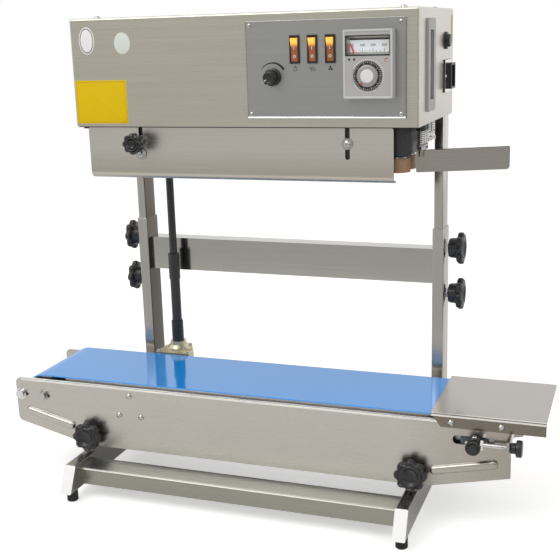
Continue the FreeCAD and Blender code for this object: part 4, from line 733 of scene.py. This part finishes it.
def addPosts():
    look = steelLook
    # painted shade: the left posts' inner sides, looking along +X, are dark
    innerSideShade = [("+X", look["postInsideShade"])]
    leftPost = brushedSteel("leftPost", look["post"], 0.17, "Z", "X", 0.1, turned=innerSideShade)
    rightPost = brushedSteel("rightPost", look["post"], 0.17, "Z", "X", 0.1)
    for (side, x), finish in zip(postWork["places"], (leftPost, rightPost)):
        outer = formPiece(side + "OuterTube", finish, "frame", footedTube, x, postWork["outer"])
        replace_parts(outer, side + "_outer_post")
        inner = formPiece(side + "InnerTube", finish, "head", roundTube, x, postWork["inner"])
        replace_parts(inner, side + "_inner_post")


addPosts()
print("posts added")


# star knobs

starKnob = {
    "lobes": 8,
    "valley": 0.17,
    "clampSides": (("left", -228.5, toLeft), ("right", 197.5, toRight)),
    "clampLevels": (("upper", 292.5), ("lower", 234.5)),
    "clampDepth": 98,
    "clampSize": (20, 10, 12.4, 9, 12),       # radius, collar and its radius, depth, cap
    "conveyorSides": (("left", -229.0), ("right", 189.0)),
    "conveyorPlace": (-75.3, 66.5),           # depth and height
    "conveyorSize": (19, 5, 10, 12, 12),
    "coverPlace": (-142.5, -55.3, 437.5),
    "coverSize": (12.5, 12, 5.4, 14.5, 7.5),
}


def starProfile(radius, collar, collarRadius, depth, cap):
    valley = starKnob["valley"]
    end = collar + depth
    return [
        (0.0, collarRadius * 0.92),
        (collar * 0.25, collarRadius),
        (collar * 0.75, collarRadius * 1.02),
        (collar, collarRadius * 1.14, valley * 0.15),
        (collar + depth * 0.04, radius * 0.86, valley * 0.85),
        (collar + depth * 0.12, radius * 0.96, valley),
        (collar + depth * 0.3, radius, valley),
        (collar + depth * 0.66, radius, valley),
        (collar + depth * 0.84, radius * 0.965, valley * 0.95),
        (end - depth * 0.1, radius * 0.88, valley * 0.7),
        (end - depth * 0.05, radius * 0.76, valley * 0.3),
        (end - depth * 0.1, cap * 1.14),
        (end - depth * 0.02, cap * 1.06),
        (end, cap),
        (end - depth * 0.02, cap * 0.9),
        (end - depth * 0.2, cap * 0.78),
        (end - depth * 0.32, cap * 0.45),
        (end - depth * 0.34, cap * 0.12),
    ]


def addStarKnob(node, place, facing, size):
    knob = turnedPiece(node + "_grip", place, facing, starProfile(*size), knobBlack, node, 96,
                       starKnob["lobes"], 50)
    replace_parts(knob, node)


def addStarKnobs():
    nut = [(-4.0, 6.0), (-3.6, 6.5), (-1.4, 6.5), (-1.0, 6.0)]
    stud = [(-5.1, 3.9), (-0.2, 3.9), (0.4, 3.6)]
    for side, across, facing in starKnob["clampSides"]:
        for level, up in starKnob["clampLevels"]:
            node = side + "_" + level + "_clamp_knob"
            place = (across, starKnob["clampDepth"], up)
            addStarKnob(node, place, facing, starKnob["clampSize"])
            if side == "right":
                turnedPiece(node + "_nut", place, facing, nut, chromeTrim, node, 6)
                turnedPiece(node + "_stud", place, facing, stud, chromeTrim, node, 24)
    for side, across in starKnob["conveyorSides"]:
        place = (across, *starKnob["conveyorPlace"])
        addStarKnob(side + "_conveyor_knob", place, toFront, starKnob["conveyorSize"])
    place = starKnob["coverPlace"]
    addStarKnob("cover_knob", place, toFront, starKnob["coverSize"])
    neck = [(2.0, 5.6), (2.4, 6.1), (6.6, 6.1), (7.0, 5.6)]
    turnedPiece("cover_knob_nut", place, toFront, neck, chromeTrim, "cover_knob", 6)


addStarKnobs()
print("star knobs added")


# belt tension at the infeed end

tensionWorks = {
    "middle": (260.0, -83.0, 111.5),
    "rodEnds": (250.0, 299.4),
    "rodRadius": 2.9,
    "threadPitch": 1.25,
    "threadDepth": 0.35,
    "knobStart": 299.3,
    "sliderColour": (0.06, 0.07, 0.08),
    "slider": (243.0, 273.0, 103.5, 119.5),      # left, right, low, high
    "sliderLevels": (-71.9, -72.8),
}


def threadedRod(shell, ends, y, z):
    # a rod along the right-hand axis with a helical thread
    work = tensionWorks
    pitch = work["threadPitch"]
    length = ends[1] - ends[0]
    count = max(8, int(length / pitch * 6))

    def spotAt(across, turn):
        wave = cos(2 * pi * across / pitch - turn)
        reach = work["rodRadius"] - work["threadDepth"] * 0.5 * (1 - wave)
        return Vector((ends[0] + across, y + reach * cos(turn), z + reach * sin(turn))) * mm

    sweep(shell, [length * row / count for row in range(count + 1)], fullTurns(20), spotAt)


def addTensionWorks():
    work = tensionWorks
    x, y, z = work["middle"]
    screw = "tension_screw"
    axle = "tension_axle"
    rod = formPiece("tensionRod", chromeTrim, screw, threadedRod, work["rodEnds"], y, z, sharp=60)
    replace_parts(rod, "tension_screw")
    knob = [(0, 5.0), (0.6, 5.9), (5.4, 6.1), (5.9, 6.6), (6.1, 8.6), (6.6, 9.3), (7.6, 9.5), (11.2, 9.5),
            (12.3, 9.1), (12.7, 8.2), (12.8, 5.0), (12.5, 1.0)]
    turnedPiece("tensionRodKnob", (work["knobStart"], y, z), toRight, knob, knobBlack, screw)
    nut = [(0, 5.6), (0.5, 6.2), (3.1, 6.2), (3.6, 5.6)]
    turnedPiece("tensionRodNut", (x + 6.6, y, z), toRight, nut, chromeTrim, axle, 6)
    lock = [(0, 5.2), (0.3, 5.7), (1.6, 5.7), (2.0, 6.6), (2.2, 7.9), (2.7, 8.35), (6.6, 8.35), (7.6, 8.0),
            (8.1, 7.3), (8.2, 6.2), (7.9, 5.8), (9.6, 5.4), (10.5, 4.8), (10.9, 3.4), (10.95, 0.8)]
    node = "tension_lock_knob"
    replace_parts(turnedPiece("tensionLockGrip", (x, y - 6.3, z), toFront, lock, knobBlack, node, 64), node)
    collar = [(0, 7.0), (0.4, 7.6), (9.4, 7.6), (9.9, 7.0)]
    turnedPiece("tensionCollar", (x, y + 6.4, z), toFront, collar, knobBlack, axle)
    bolt = [(0, 2.6), (0.3, 2.9), (2.4, 2.9), (3.0, 2.3), (3.1, 0.6)]
    turnedPiece("tensionBolt", (x, y, z + 6.4), upward, bolt, chromeTrim, axle, 24)
    slate = moulded("sliderSlate", work["sliderColour"], 0.4, 0.1)
    outline = roundedOutline(*work["slider"], 1.0)
    formPiece("tensionSlider", slate, axle, frontSlab, outline, *work["sliderLevels"], 0.3)


addTensionWorks()
print("belt tension added")


# control panel: edging, lower lip, speed knob and its scale

panelWork = {
    "limits": (-3.0, 178.0, 465.5, 571.5),     # left, right, low, high
    "face": -61.0,
    "edgingRise": 0.25,
    "lipHeight": 2.3,
    "lipInset": 0.4,
    "print": (0.012, 0.012, 0.012),
    "white": (0.78, 0.78, 0.76),
    # painted shade and highlight: the edging is darker, and the lip strip along the lower edge is bright
    "edging": (0.36, 0.36, 0.35),
    "lip": (0.78, 0.775, 0.76),
    "printLift": 0.02,
    "speed": (28.0, 511.0),
    "speedArc": 15.4,
    "speedLean": 218,                          # degrees
    "switches": (54.4, 74.7, 95.0),
    "switchUp": 540.3,
}
printBlack = moulded("printBlack", panelWork["print"], 0.55, 0.05)
printWhite = moulded("printWhite", panelWork["white"], 0.5, 0.05, change=0.02)
shadedEdgeChrome = polishedSteel("shadedEdgeChrome", panelWork["edging"], 0.3)
lipHighlightChrome = polishedSteel("lipHighlightChrome", panelWork["lip"], 0.16)


def addSpeedScale():
    rows = []
    middle = panelWork["speedArc"]
    for step in range(25):            # the printed arc grows from left to right
        share = step / 24
        thick = 0.5 + 2.3 * share
        rows.append((147 - 117 * share, middle - thick / 2, middle + thick / 2))
    face = panelWork["face"] - panelWork["printLift"]
    formPiece("speedScale", printBlack, "head", flatArc, panelWork["speed"], rows, face, 0.12)


def addSpeedKnob():
    x, z = panelWork["speed"]
    face = panelWork["face"]
    lean = panelWork["speedLean"]
    node = "speed_knob"
    skirt = [(0.3, 9.3), (0.7, 9.9), (2.2, 9.9), (3.0, 9.5), (3.4, 8.4), (3.6, 7.7)]
    knob = turnedPiece("speedKnobSkirt", (x, face, z), toFront, skirt, knobBlack, node, 64)
    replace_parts(knob, "speed_knob")
    grip = [(3.2, 7.6, 0.05), (4.0, 7.7, 0.07), (12.5, 7.1, 0.07), (14.0, 6.8, 0.06), (14.7, 6.3, 0.02),
            (14.9, 5.6), (14.6, 5.1), (14.4, 3.6), (14.35, 0.6)]
    turnedPiece("speedKnobGrip", (x, face, z), toFront, grip, knobBlack, node, 144, 24, 30)
    formPiece("speedKnobPointer", knobBlack, node, rayBar, (x, z), lean, 7.6, 11.2, 2.6, face - 0.6, 2.6)
    formPiece("speedKnobMark", printWhite, node, rayBar, (x, z), lean, 3.0, 6.0, 0.7, face - 14.6, 0.35)


def addPanelEdging():
    rise = panelWork["edgingRise"]
    face = panelWork["face"]
    rows = [(-0.15, face + 1.9), (-0.1, face + 0.4), (0.15, face - rise * 0.6), (0.5, face - rise),
            (0.9, face - rise), (1.1, face + 0.1)]
    rectangleRing("panelEdging", panelWork["limits"], rows, 1.4, shadedEdgeChrome, "head")
    left, right, low, high = panelWork["limits"]
    half = panelWork["lipHeight"] / 2
    inset = panelWork["lipInset"]
    # painted highlight: a bright strip along the panel's lower edge
    lip = arcPoints((face + 0.6, low + half), half + 0.15, 90, 270)
    longStrip("panelLowerLip", (left + inset, right - inset), lip, lipHighlightChrome, "head")


addSpeedScale()
addSpeedKnob()
addPanelEdging()
print("panel work added")


# rocker switches: amber caps with a painted highlight and painted glow on their upper part, and the on and
# off marks

rockerLook = {
    "low": (0.30, 0.075, 0.012),
    "high": (0.95, 0.42, 0.05),
    "paintedGlow": (1.0, 0.5, 0.08),
    "paintedGlowStrength": 0.75,
    "markIn": 0.12,
    "markThick": 0.4,
    "offMark": -7.4,           # above the switch's middle
    "onMark": 1.2,
}


def paintedGlowAmber():
    look = rockerLook
    finish, tree, shader = newFinish("rockerAmberPaintedGlow", look["low"], 0.16)
    up = axisParts(tree, "TexCoord", "Generated")["Z"]
    # painted highlight and glow: the upper part of each cap is lighter and glows
    upper = rangeNode(tree, up, 0.56, 0.86, 0, 1, True)
    wire(tree, twoTones(tree, upper, look["low"], look["high"]), shader, "Base Color")
    setInputs(shader, {"Emission Color": (*look["paintedGlow"], 1), "Coat Weight": 0.6})
    paintedGlow = rangeNode(tree, upper, 0, 1, 0.02, look["paintedGlowStrength"])
    wire(tree, paintedGlow, shader, "Emission Strength")
    bumped(tree, shader, evenSpeckle(tree, 90, 1.0), 0.05, 0.0002)
    return finish


def frontOf(node, x, z):
    # where a line from the front meets a CAD piece
    obj = nodes[node]
    turn = obj.matrix_world.inverted()
    start = turn @ Vector((x * mm, -0.3, z * mm))
    way = (turn.to_3x3() @ Vector((0, 1, 0))).normalized()
    hit, spot, facing, index = obj.ray_cast(start, way)
    return (obj.matrix_world @ spot).y / mm


def addRockerMarks():
    thick = rockerLook["markThick"]
    low = panelWork["switchUp"] + rockerLook["offMark"]
    high = panelWork["switchUp"] + rockerLook["onMark"]
    rows = [(15 * step, 1.05, 1.6) for step in range(25)]
    for side, x in zip(("left", "middle", "right"), panelWork["switches"]):
        node = side + "_rocker"
        shell = bmesh.new()
        depth = frontOf(node, x, low) + rockerLook["markIn"]
        flatArc(shell, (x, low), rows, depth, thick)
        depth = min(frontOf(node, x, high - 1.5), frontOf(node, x, high + 1.5)) + rockerLook["markIn"]
        flatBar(shell, (x, high - 1.6), (x, high + 1.6), 0.6, depth, thick)
        newPiece(side + "RockerMarks", shell, printWhite, node)


dress(paintedGlowAmber(), "left_rocker", "middle_rocker", "right_rocker")
addRockerMarks()
print("rockers lit")


# temperature controller: rim, window frame, scale card, lamps and dial

controllerWork = {
    "limits": (112.5, 166.5, 487.7, 559.7),       # left, right, low, high
    "face": -73.0,
    "window": (115.0, 164.0, 532.5, 553.5),
    "cardDepth": 7.2,
    "rim": (0.50, 0.525, 0.51),
    "frame": (0.52, 0.50, 0.44),
    "card": (0.80, 0.82, 0.85),
    "numbers": (("0", 121.6), ("100", 132.0), ("200", 143.6), ("300", 155.8)),
    "numberHeight": 2.8,
    "tickStep": 3.9,
    "dial": (139.5, 511.5),
    "dialSkirt": 15.5,
    "dialKnob": 11.9,
    "dialCap": 7.2,
    "silver": (0.46, 0.45, 0.42),
    "capWhite": (0.70, 0.69, 0.66),
    "markAngle": 232,
    "lamps": (("green", 119.4, (0.012, 0.06, 0.035)), ("red", 124.8, (0.16, 0.012, 0.012))),
    "lampUp": 528.8,
    "heatMark": (159.6, 527.6),
}
rimGrey = moulded("controllerRim", controllerWork["rim"], 0.35, 0.08, change=0.02)
framePlate = brushedSteel("windowFrame", controllerWork["frame"], 0.32, "X", "Z", 0.1)
cardWhite = moulded("scaleCard", controllerWork["card"], 0.6, 0.04, change=0.015)
dialSilver = brushedSteel("dialSilver", controllerWork["silver"], 0.34, "Y", "X", 0.15)
dialWhite = moulded("dialCap", controllerWork["capWhite"], 0.35, 0.05, change=0.02)
needleRed = moulded("markRed", plasticLook["red"], 0.4, 0.05)


def addText(name, words, x, z, depth, height, finish, body):
    curve = bpy.data.curves.new(name, "FONT")
    curve.body = words
    curve.size = height * mm * 1.4
    curve.align_x = "CENTER"
    curve.align_y = "CENTER"
    curve.extrude = 0.00005
    curve.materials.append(finish)
    text = bpy.data.objects.new(name, curve)
    upright = Matrix.Rotation(pi / 2, 4, "X")
    text.matrix_world = Matrix.Translation(Vector((x, depth, z)) * mm) @ upright
    show(text)
    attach(text, body)


def addControllerFace():
    work = controllerWork
    face = work["face"]
    rows = [(0.0, face + 0.5), (0.0, face - 0.5), (0.35, face - 1.0), (2.0, face - 1.0), (2.5, face - 0.6),
            (2.7, face + 0.1)]
    rectangleRing("controllerRim", work["limits"], rows, 1.8, rimGrey, "head")
    rows = [(-0.2, face + 0.2), (-0.2, face - 0.35), (0.1, face - 0.5), (0.7, face - 0.5), (0.9, face - 0.2),
            (0.9, face + 0.2)]
    rectangleRing("windowBorder", work["window"], rows, 1.0, printBlack, "head")


def addScaleCard():
    work = controllerWork
    left, right, low, high = work["window"]
    face = work["face"]
    back = face + work["cardDepth"]
    rows = [(0.9, face + 2.0), (1.2, face + 1.9), (3.2, back - 0.4), (3.4, back), (0.9, back)]
    rectangleRing("windowSlope", work["window"], rows, 1.0, framePlate, "head")
    outline = roundedOutline(left + 2.4, right - 2.4, low + 1.6, high - 1.6, 0.4, 2)
    formPiece("scaleCard", cardWhite, "head", frontSlab, outline, back + 0.6, back - 0.1)
    front = back - 0.12
    up = high - 4.0
    # painted shadow: a dark band across the top of the window, under the frame
    formPiece("windowTopShadow", printBlack, "head", flatBar, (left + 3.4, up), (right - 3.4, up), 1.7, front, 0.1)
    shell = bmesh.new()
    for words, x in work["numbers"]:
        flatBar(shell, (x, low + 3.4), (x, low + 7.4), 0.4, front, 0.08)
        for step in (1, 2):
            aside = x + step * work["tickStep"]
            if aside < right - 5:
                flatBar(shell, (aside, low + 3.6), (aside, low + 5.3), 0.3, front, 0.08)
    newPiece("scaleTicks", shell, printBlack, "head")
    for words, x in work["numbers"]:
        addText("scaleNumber" + words, words, x, low + 10.6, front - 0.05, work["numberHeight"], printBlack,
                "head")


def addLamps():
    work = controllerWork
    face = work["face"]
    bulb = [(0.0, 1.25), (0.3, 1.25), (0.5, 1.0), (0.9, 0.8), (1.1, 0.4)]
    for name, x, colour in work["lamps"]:
        finish = moulded("lamp" + name.title(), colour, 0.15, 0.02)
        turnedPiece(name + "Lamp", (x, face, work["lampUp"]), toFront, bulb, finish, "head", 20)
    x, z = work["heatMark"]
    depth = face + 0.02
    shell = bmesh.new()
    flatArc(shell, (x, z), [(40 + 12 * step, 1.3, 2.0) for step in range(23)], depth, 0.1)
    flatBar(shell, (x, 528.8), (161.4, 530.4), 0.6, depth, 0.1)
    newPiece("heatMark", shell, needleRed, "head")


def addDial():
    work = controllerWork
    x, z = work["dial"]
    face = work["face"]
    skirt = work["dialSkirt"]
    knob = work["dialKnob"]
    cap = work["dialCap"]
    node = "controller_dial"
    place = (x, face, z)
    flange = [(0.1, skirt - 0.3), (0.4, skirt), (1.2, skirt), (1.5, skirt - 0.25), (1.6, knob - 0.5)]
    plate = turnedPiece("dialSkirt", place, toFront, flange, knobBlack, node, 72)
    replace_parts(plate, "controller_dial")
    grip = [(1.5, knob - 0.2), (1.8, knob), (2.2, knob), (3.2, knob - 0.7), (3.4, knob - 1.4), (3.4, cap)]
    turnedPiece("dialKnob", place, toFront, grip, dialSilver, node, 72)
    top = [(3.2, cap), (4.2, cap), (4.7, cap - 0.4), (4.9, cap - 1.4), (4.95, 0.5)]
    turnedPiece("dialCap", place, toFront, top, dialWhite, node)
    shell = bmesh.new()
    for step in range(40):            # white marks on the skirt, longer at every fourth
        inner = knob + (0.7 if step % 4 == 0 else 1.7)
        rayBar(shell, (x, z), 9 * step, inner, skirt - 0.5, 0.4, face - 1.55, 0.1)
    newPiece("dialSkirtMarks", shell, printWhite, node)
    shell = bmesh.new()
    for step in range(41):            # raised marks on the face round the dial
        rayBar(shell, (x, z), -150 + 7.5 * step, 16.1, 17.9, 0.75, face + 0.05, 0.3)
    newPiece("dialFaceMarks", shell, printWhite, "head")
    angle = work["markAngle"]
    formPiece("dialMark", needleRed, node, rayBar, (x, z), angle, 9.0, 11.4, 1.7, face - 3.2, 0.5)


addControllerFace()
addScaleCard()
addLamps()
addDial()
print("controller added")


# plain signs under the switches and blank stickers on the case

signWork = {
    "signUp": 519.5,
    "white": (0.80, 0.79, 0.78),
    "pale": (0.66, 0.69, 0.63),
    "yellow": (0.70, 0.475, 0.004),
    "yellowEdge": (0.46, 0.26, 0.008),
    "ring": (0.16, 0.15, 0.16),
    "caseFace": -59.0,
    "oval": (-204, 555.5),
    "round": (-157.5, 551.8),
    "yellowLimits": (-223.3, -155.5, 459.5, 510.0),
}


def addSigns():
    ink = (panelWork["face"] - panelWork["printLift"], 0.1)
    up = signWork["signUp"]
    left, middle, right = panelWork["switches"]
    shell = bmesh.new()
    flatArc(shell, (left, up), [(120 - 300 * step / 24, 2.0, 2.6) for step in range(25)], *ink)
    flatBar(shell, (left, up + 0.4), (left, up + 3.0), 0.65, *ink)
    newPiece("powerSign", shell, printBlack, "head")
    shell = bmesh.new()
    for shift in (-2.2, 0.0, 2.2):     # three rising waves of warmth
        for lower in (0, 1):
            start = -90 if lower else 90
            centre = (middle + shift, up - 1.3 + 2.2 * (1 - lower))
            flatArc(shell, centre, [(start + 180 * step / 10, 0.8, 1.35) for step in range(11)], *ink)
    newPiece("heatSign", shell, printBlack, "head")
    shell = bmesh.new()
    for blade in range(3):
        centre = around((right, up), 1.5, radians(90 + 120 * blade))
        flatArc(shell, centre, [(30 * step, 0.0, 1.15) for step in range(13)], *ink)
    newPiece("fanSign", shell, printBlack, "head")


def ovalOutline(middle, halfX, halfZ):
    x, z = middle
    return [(x + halfX * cos(turn), z + halfZ * sin(turn)) for turn in fullTurns(48)]


def addSticker(name, outline, finish):
    face = signWork["caseFace"]
    formPiece(name, finish, "head", frontSlab, outline, face + 0.05, face - 0.2, 0.08)


def addStickers():
    look = signWork
    face = look["caseFace"]
    oval = look["oval"]
    limits = look["yellowLimits"]
    paper = moulded("stickerWhite", look["white"], 0.42, 0.04, change=0.02)
    pale = moulded("stickerPale", look["pale"], 0.4, 0.04, change=0.02)
    ringInk = moulded("stickerInk", look["ring"], 0.5, 0.04)
    yellow = moulded("stickerYellow", look["yellow"], 0.42, 0.05, change=0.035, gloss=0.15)
    yellowInk = moulded("stickerYellowInk", look["yellowEdge"], 0.5, 0.04)
    addSticker("ovalSticker", ovalOutline(oval, 10.2, 15.6), paper)
    outer = ovalOutline(oval, 9.0, 14.3)
    inner = ovalOutline(oval, 8.0, 13.1)
    rows = [(outer, face - 0.18), (outer, face - 0.26), (inner, face - 0.26), (inner, face - 0.18)]
    formPiece("ovalStickerRing", ringInk, "head", stack, rows, depthAxis, True)
    addSticker("roundSticker", ovalOutline(look["round"], 10.4, 12.2), pale)
    addSticker("yellowSticker", roundedOutline(*limits, 1.2), yellow)
    rows = [(1.6, face - 0.19), (1.6, face - 0.25), (2.1, face - 0.25), (2.1, face - 0.19)]
    rectangleRing("yellowStickerLine", limits, rows, 2.0, yellowInk, "head")


addSigns()
addStickers()
print("signs and stickers added")


# trim and small works: gasket, rolled edges, beads, guide springs, gearbox bolts, inlet plate, feet

trimWork = {
    "gasket": (-224.0, 190.0, -57.6, 134.6, 454.9, 456.2),
    "plateFront": -75.0,
    "plateBack": 51.0,
    "plateTop": 133.0,
    "plateEnds": (-328.0, 298.6),
    "tableFront": -76.5,
    "tableTop": 140.8,
    "tableEnds": (210.4, 335.6),
    "boltSlots": ((-324.0, -318.2), (-292.0, -286.2)),
    "boltSlotHeights": (109.3, 113.7),
    "rodX": 187.0,
    "rodRows": (("front", -25.0), ("rear", -13.0)),
    "studRows": (("near", 8.0), ("far", 30.0)),
    "rodSpring": (4.1, 434.4, 449.0, 7),           # radius, low, high, turns
    "studSpring": (3.3, 444.6, 454.6, 5),
    "springWire": 0.75,
    "studLink": (1.0, 37.0, 439.4, 444.0),
    "beads": (("left", (-321.0, 90.5), (-252.6, 74.1)), ("right", (209.6, 70.8), (284.4, 87.1))),
    "beadWidth": 5.5,
    "beadHeight": 4.5,
    "shaft": (-171.0, 73.0),
    "gearbox": (-192.4, -149.6, 54.6, 140.0),      # left, right and front screws, top of the casting
    "flangeTop": 143.0,
    "flangeBolts": 16.8,
    "boltSink": 0.05,
    "wheels": ((-185.0, "drive"), (162.5, "idler")),
    "wheelRows": (("front", -33.2), ("rear", -4.8)),
    "wheelRim": 420.9,
    "inletPlate": (76.3, 115.7, 484.3, 521.7),
    "inletBody": (82.9, 109.1, 487.9, 518.1),
    "inletFace": 194.0,
    "inletScrews": ((79.7, 503.0), (112.3, 503.0)),
    "sideSticker": (121.0, 130.0, 541.0, 573.0),
    "amber": (0.55, 0.36, 0.09),
    "caseStrip": (-221.5, -206.0, 452.6, 456.1),
    "stripScrew": (-213.0, -46.0, 452.7),
    "footSize": (14.0, 7.0),                       # height, radius
    "footX": (-229.0, 189.0),
    "footY": (-130.0, 130.0),
}
# painted highlight: the rolled edges of the plates and the table are much lighter than the sheets
edgeHighlightSteel = polishedSteel("rolledEdgeHighlight", (0.86, 0.84, 0.80), 0.36)
# painted highlight: the beads are lighter than the plate they stand on
beadHighlightSteel = polishedSteel("beadHighlightSteel", (0.70, 0.665, 0.615), 0.42)
springSteel = polishedSteel("springSteel", (0.62, 0.62, 0.61), 0.16)
gasketRubber = moulded("gasketRubber", (0.02, 0.02, 0.02), 0.6, 0.2)


def addRolledEdge(name, ends, edge, middle, radius, turns, under):
    # middle of the round and the points under it: steps in depth and height from the edge
    spots = [(edge[0] + back, edge[1] + up) for back, up in (middle, *under)]
    longStrip(name, ends, arcPoints(spots[0], radius, *turns) + spots[1:], edgeHighlightSteel, "frame")


def addRolledEdges():
    work = trimWork
    ends = work["plateEnds"]
    front = (work["plateFront"], work["plateTop"])
    back = (work["plateBack"], work["plateTop"])
    table = (work["tableFront"], work["tableTop"])
    under = ((0.4, -3.6), (3.0, -0.4))
    addRolledEdge("frontPlateRoll", ends, front, (2.8, -2.4), 3.2, (50, 190), under)
    under = ((-0.4, -3.2), (-1.9, -0.4))
    addRolledEdge("rearPlateRoll", ends, back, (-1.9, -1.7), 2.3, (115, -10), under)
    under = ((0.3, -3.6), (2.2, -0.4))
    addRolledEdge("tableRoll", work["tableEnds"], table, (2.2, -2.3), 2.5, (75, 195), under)


def bead(shell, start, end):
    # half an oval bar with round ends, on the front plate
    way = Vector((end[0] - start[0], 0, end[1] - start[1]))
    length = way.length
    way.normalize()
    across = Vector((-way.z, 0, way.x))
    foot = Vector((start[0], trimWork["plateFront"] + 0.3, start[1]))
    wide = trimWork["beadWidth"]
    turns = [radians(15 * step) for step in range(13)]
    lead = [wide * (1 - cos(turn)) for turn in turns[:7]]

    def spotAt(reach, turn):
        near = min(reach, length - reach)
        share = sqrt(max(0.02, 1 - max(0.0, 1 - near / wide) ** 2))
        out = Vector((0, -trimWork["beadHeight"] * share * sin(turn), 0))
        return (foot + way * reach + across * wide * share * cos(turn) + out) * mm

    sweep(shell, lead + [length - gap for gap in reversed(lead)], turns, spotAt)


def addBeads():
    for side, start, end in trimWork["beads"]:
        formPiece(side + "Bead", beadHighlightSteel, "frame", bead, start, end, sharp=70)


def addBoltSlots():
    # painted shade: dark patches on the front plate stand for the openings of the bolt slots
    front = trimWork["plateFront"]
    shell = bmesh.new()
    for ends in trimWork["boltSlots"]:
        outline = roundedOutline(*ends, *trimWork["boltSlotHeights"], 2.0, 4)
        frontSlab(shell, outline, front + 0.1, front - 0.08)
    newPiece("boltSlots", shell, gasketRubber, "frame")


def addGasket():
    left, right, front, back, low, high = trimWork["gasket"]
    rows = []
    for inset, up in ((0, high), (0, low), (4, low), (4, high)):
        rows.append((roundedOutline(left + inset, right - inset, front + inset, back - inset, 1.5, 3), up))
    formPiece("baseGasket", gasketRubber, "head", stack, rows, heightAxis, True)


def coil(shell, x, y, radius, low, high, turns):
    thick = trimWork["springWire"]
    steps = 16
    count = turns * steps

    def spotAt(step, lean):
        turn = 2 * pi * step / steps
        out = Vector((cos(turn), sin(turn), 0))
        middle = Vector((x, y, low + (high - low) * step / count)) + out * radius
        return (middle + out * thick * cos(lean) + Vector((0, 0, thick * sin(lean)))) * mm

    sweep(shell, range(count + 1), fullTurns(8), spotAt)


def addGuideWorks():
    work = trimWork
    x = work["rodX"]
    nut = [(0, 5.2), (0.5, 5.7), (3.4, 5.7), (3.9, 5.2)]
    washer = [(0, 5.5), (0.3, 5.8), (1.0, 5.8), (1.3, 5.4)]
    collar = [(0, 5.3), (0.6, 5.8), (5.2, 5.8), (5.8, 5.3)]
    stud = [(0, 1.8), (0.4, 2.2), (22.0, 2.2), (22.4, 1.8)]
    for row, y in work["rodRows"]:
        formPiece(row + "GuideSpring", springSteel, "head", coil, x, y, *work["rodSpring"], sharp=70)
        turnedPiece(row + "GuideNut", (x, y, 428.6), upward, nut, chromeTrim, "head", 6)
        turnedPiece(row + "GuideWasher", (x, y, 432.6), upward, washer, chromeTrim, "head", 32)
        turnedPiece(row + "GuideCollar", (x, y, 449.6), upward, collar, knobBlack, "head", 32)
    for row, y in work["studRows"]:      # spring studs of the press works behind the guides
        turnedPiece(row + "Stud", (x, y, 433.5), upward, stud, chromeTrim, "head", 24)
        turnedPiece(row + "StudNut", (x, y, 435.0), upward, nut, chromeTrim, "head", 6)
        formPiece(row + "StudSpring", springSteel, "head", coil, x, y, *work["studSpring"], sharp=70)
    outline = roundedOutline(*work["studLink"], 2.2)
    formPiece("studLink", chromeTrim, "head", sideSlab, outline, x - 2.6, x + 2.6, 0.5)


def addGearboxBolts():
    work = trimWork
    places = []
    for angle in (35, 145, 215, 325):
        spot = around(work["shaft"], work["flangeBolts"], radians(angle))
        places.append((*spot, work["flangeTop"]))
    left, right, front, top = work["gearbox"]
    places += [(left, front, top), (right, front, top)]
    head = [(0, 1.9), (0.3, 2.2), (1.8, 2.2), (2.2, 1.8), (2.3, 1.2), (1.4, 1.0), (1.3, 0.3)]
    shell = bmesh.new()
    for across, back, up in places:
        turnedForm(shell, (across, back, up - work["boltSink"]), upward, head, 24)
    newPiece("gearboxBolts", shell, chromeTrim, "frame")


def addWheelRims():
    rim = [(0, 12.8), (0.3, 13.4), (1.1, 13.4), (1.4, 12.8)]
    for x, kind in trimWork["wheels"]:
        for row, y in trimWork["wheelRows"]:
            node = row + "_" + kind + "_wheel"
            turnedPiece(node + "_rim", (x, y, trimWork["wheelRim"]), upward, rim, chromeTrim, node)


def addCaseTrim():
    work = trimWork
    plate = brushedSteel("inletSteel", steelLook["inletPlate"], 0.22, "Z", "Y", 0.08)
    outer = roundedOutline(*work["inletPlate"], 2.0)
    inner = roundedOutline(*work["inletBody"], 0.4)
    face = work["inletFace"]
    rows = [(outer, face - 0.6), (outer, face), (inner, face), (inner, face - 0.6)]
    formPiece("inletPlate", plate, "head", stack, rows, lengthAxis, True)
    dome = [(0, 1.9), (0.5, 1.8), (1.0, 1.2), (1.2, 0.3)]
    shell = bmesh.new()
    for place in work["inletScrews"]:
        turnedForm(shell, (face - 0.1, *place), toRight, dome, 20)
    newPiece("inletScrews", shell, chromeTrim, "head")
    amber = moulded("sideStickerAmber", work["amber"], 0.45, 0.05, change=0.03)
    outline = roundedOutline(*work["sideSticker"], 0.8)
    formPiece("sideSticker", amber, "head", sideSlab, outline, 191.9, 192.2)
    outline = roundedOutline(*work["caseStrip"], 1.0)
    formPiece("caseStrip", gasketRubber, "head", frontSlab, outline, -40, -50, 0.4)
    turnedPiece("caseStripScrew", work["stripScrew"], downward, dome, chromeTrim, "head", 20)


def addFeet():
    height, radius = trimWork["footSize"]
    groove = radius - 0.7
    profile = [(0, radius - 1.1), (0.7, radius - 0.2), (1.4, radius), (3.4, radius), (3.9, groove),
               (4.9, groove), (5.4, radius), (7.4, radius), (7.9, groove), (8.9, groove), (9.4, radius),
               (13.2, radius), (height, radius - 0.6)]
    shell = bmesh.new()
    for across in trimWork["footX"]:
        for back in trimWork["footY"]:
            turnedForm(shell, (across, back, 0), upward, profile, 36)
    feet = newPiece("ribbedFeet", shell, nodes["rubber_feet"].data.materials[0], "frame")
    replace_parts(feet, "rubber_feet")


addRolledEdges()
addBeads()
addBoltSlots()
addGasket()
addGuideWorks()
addGearboxBolts()
addWheelRims()
addCaseTrim()
addFeet()
print("trim added")
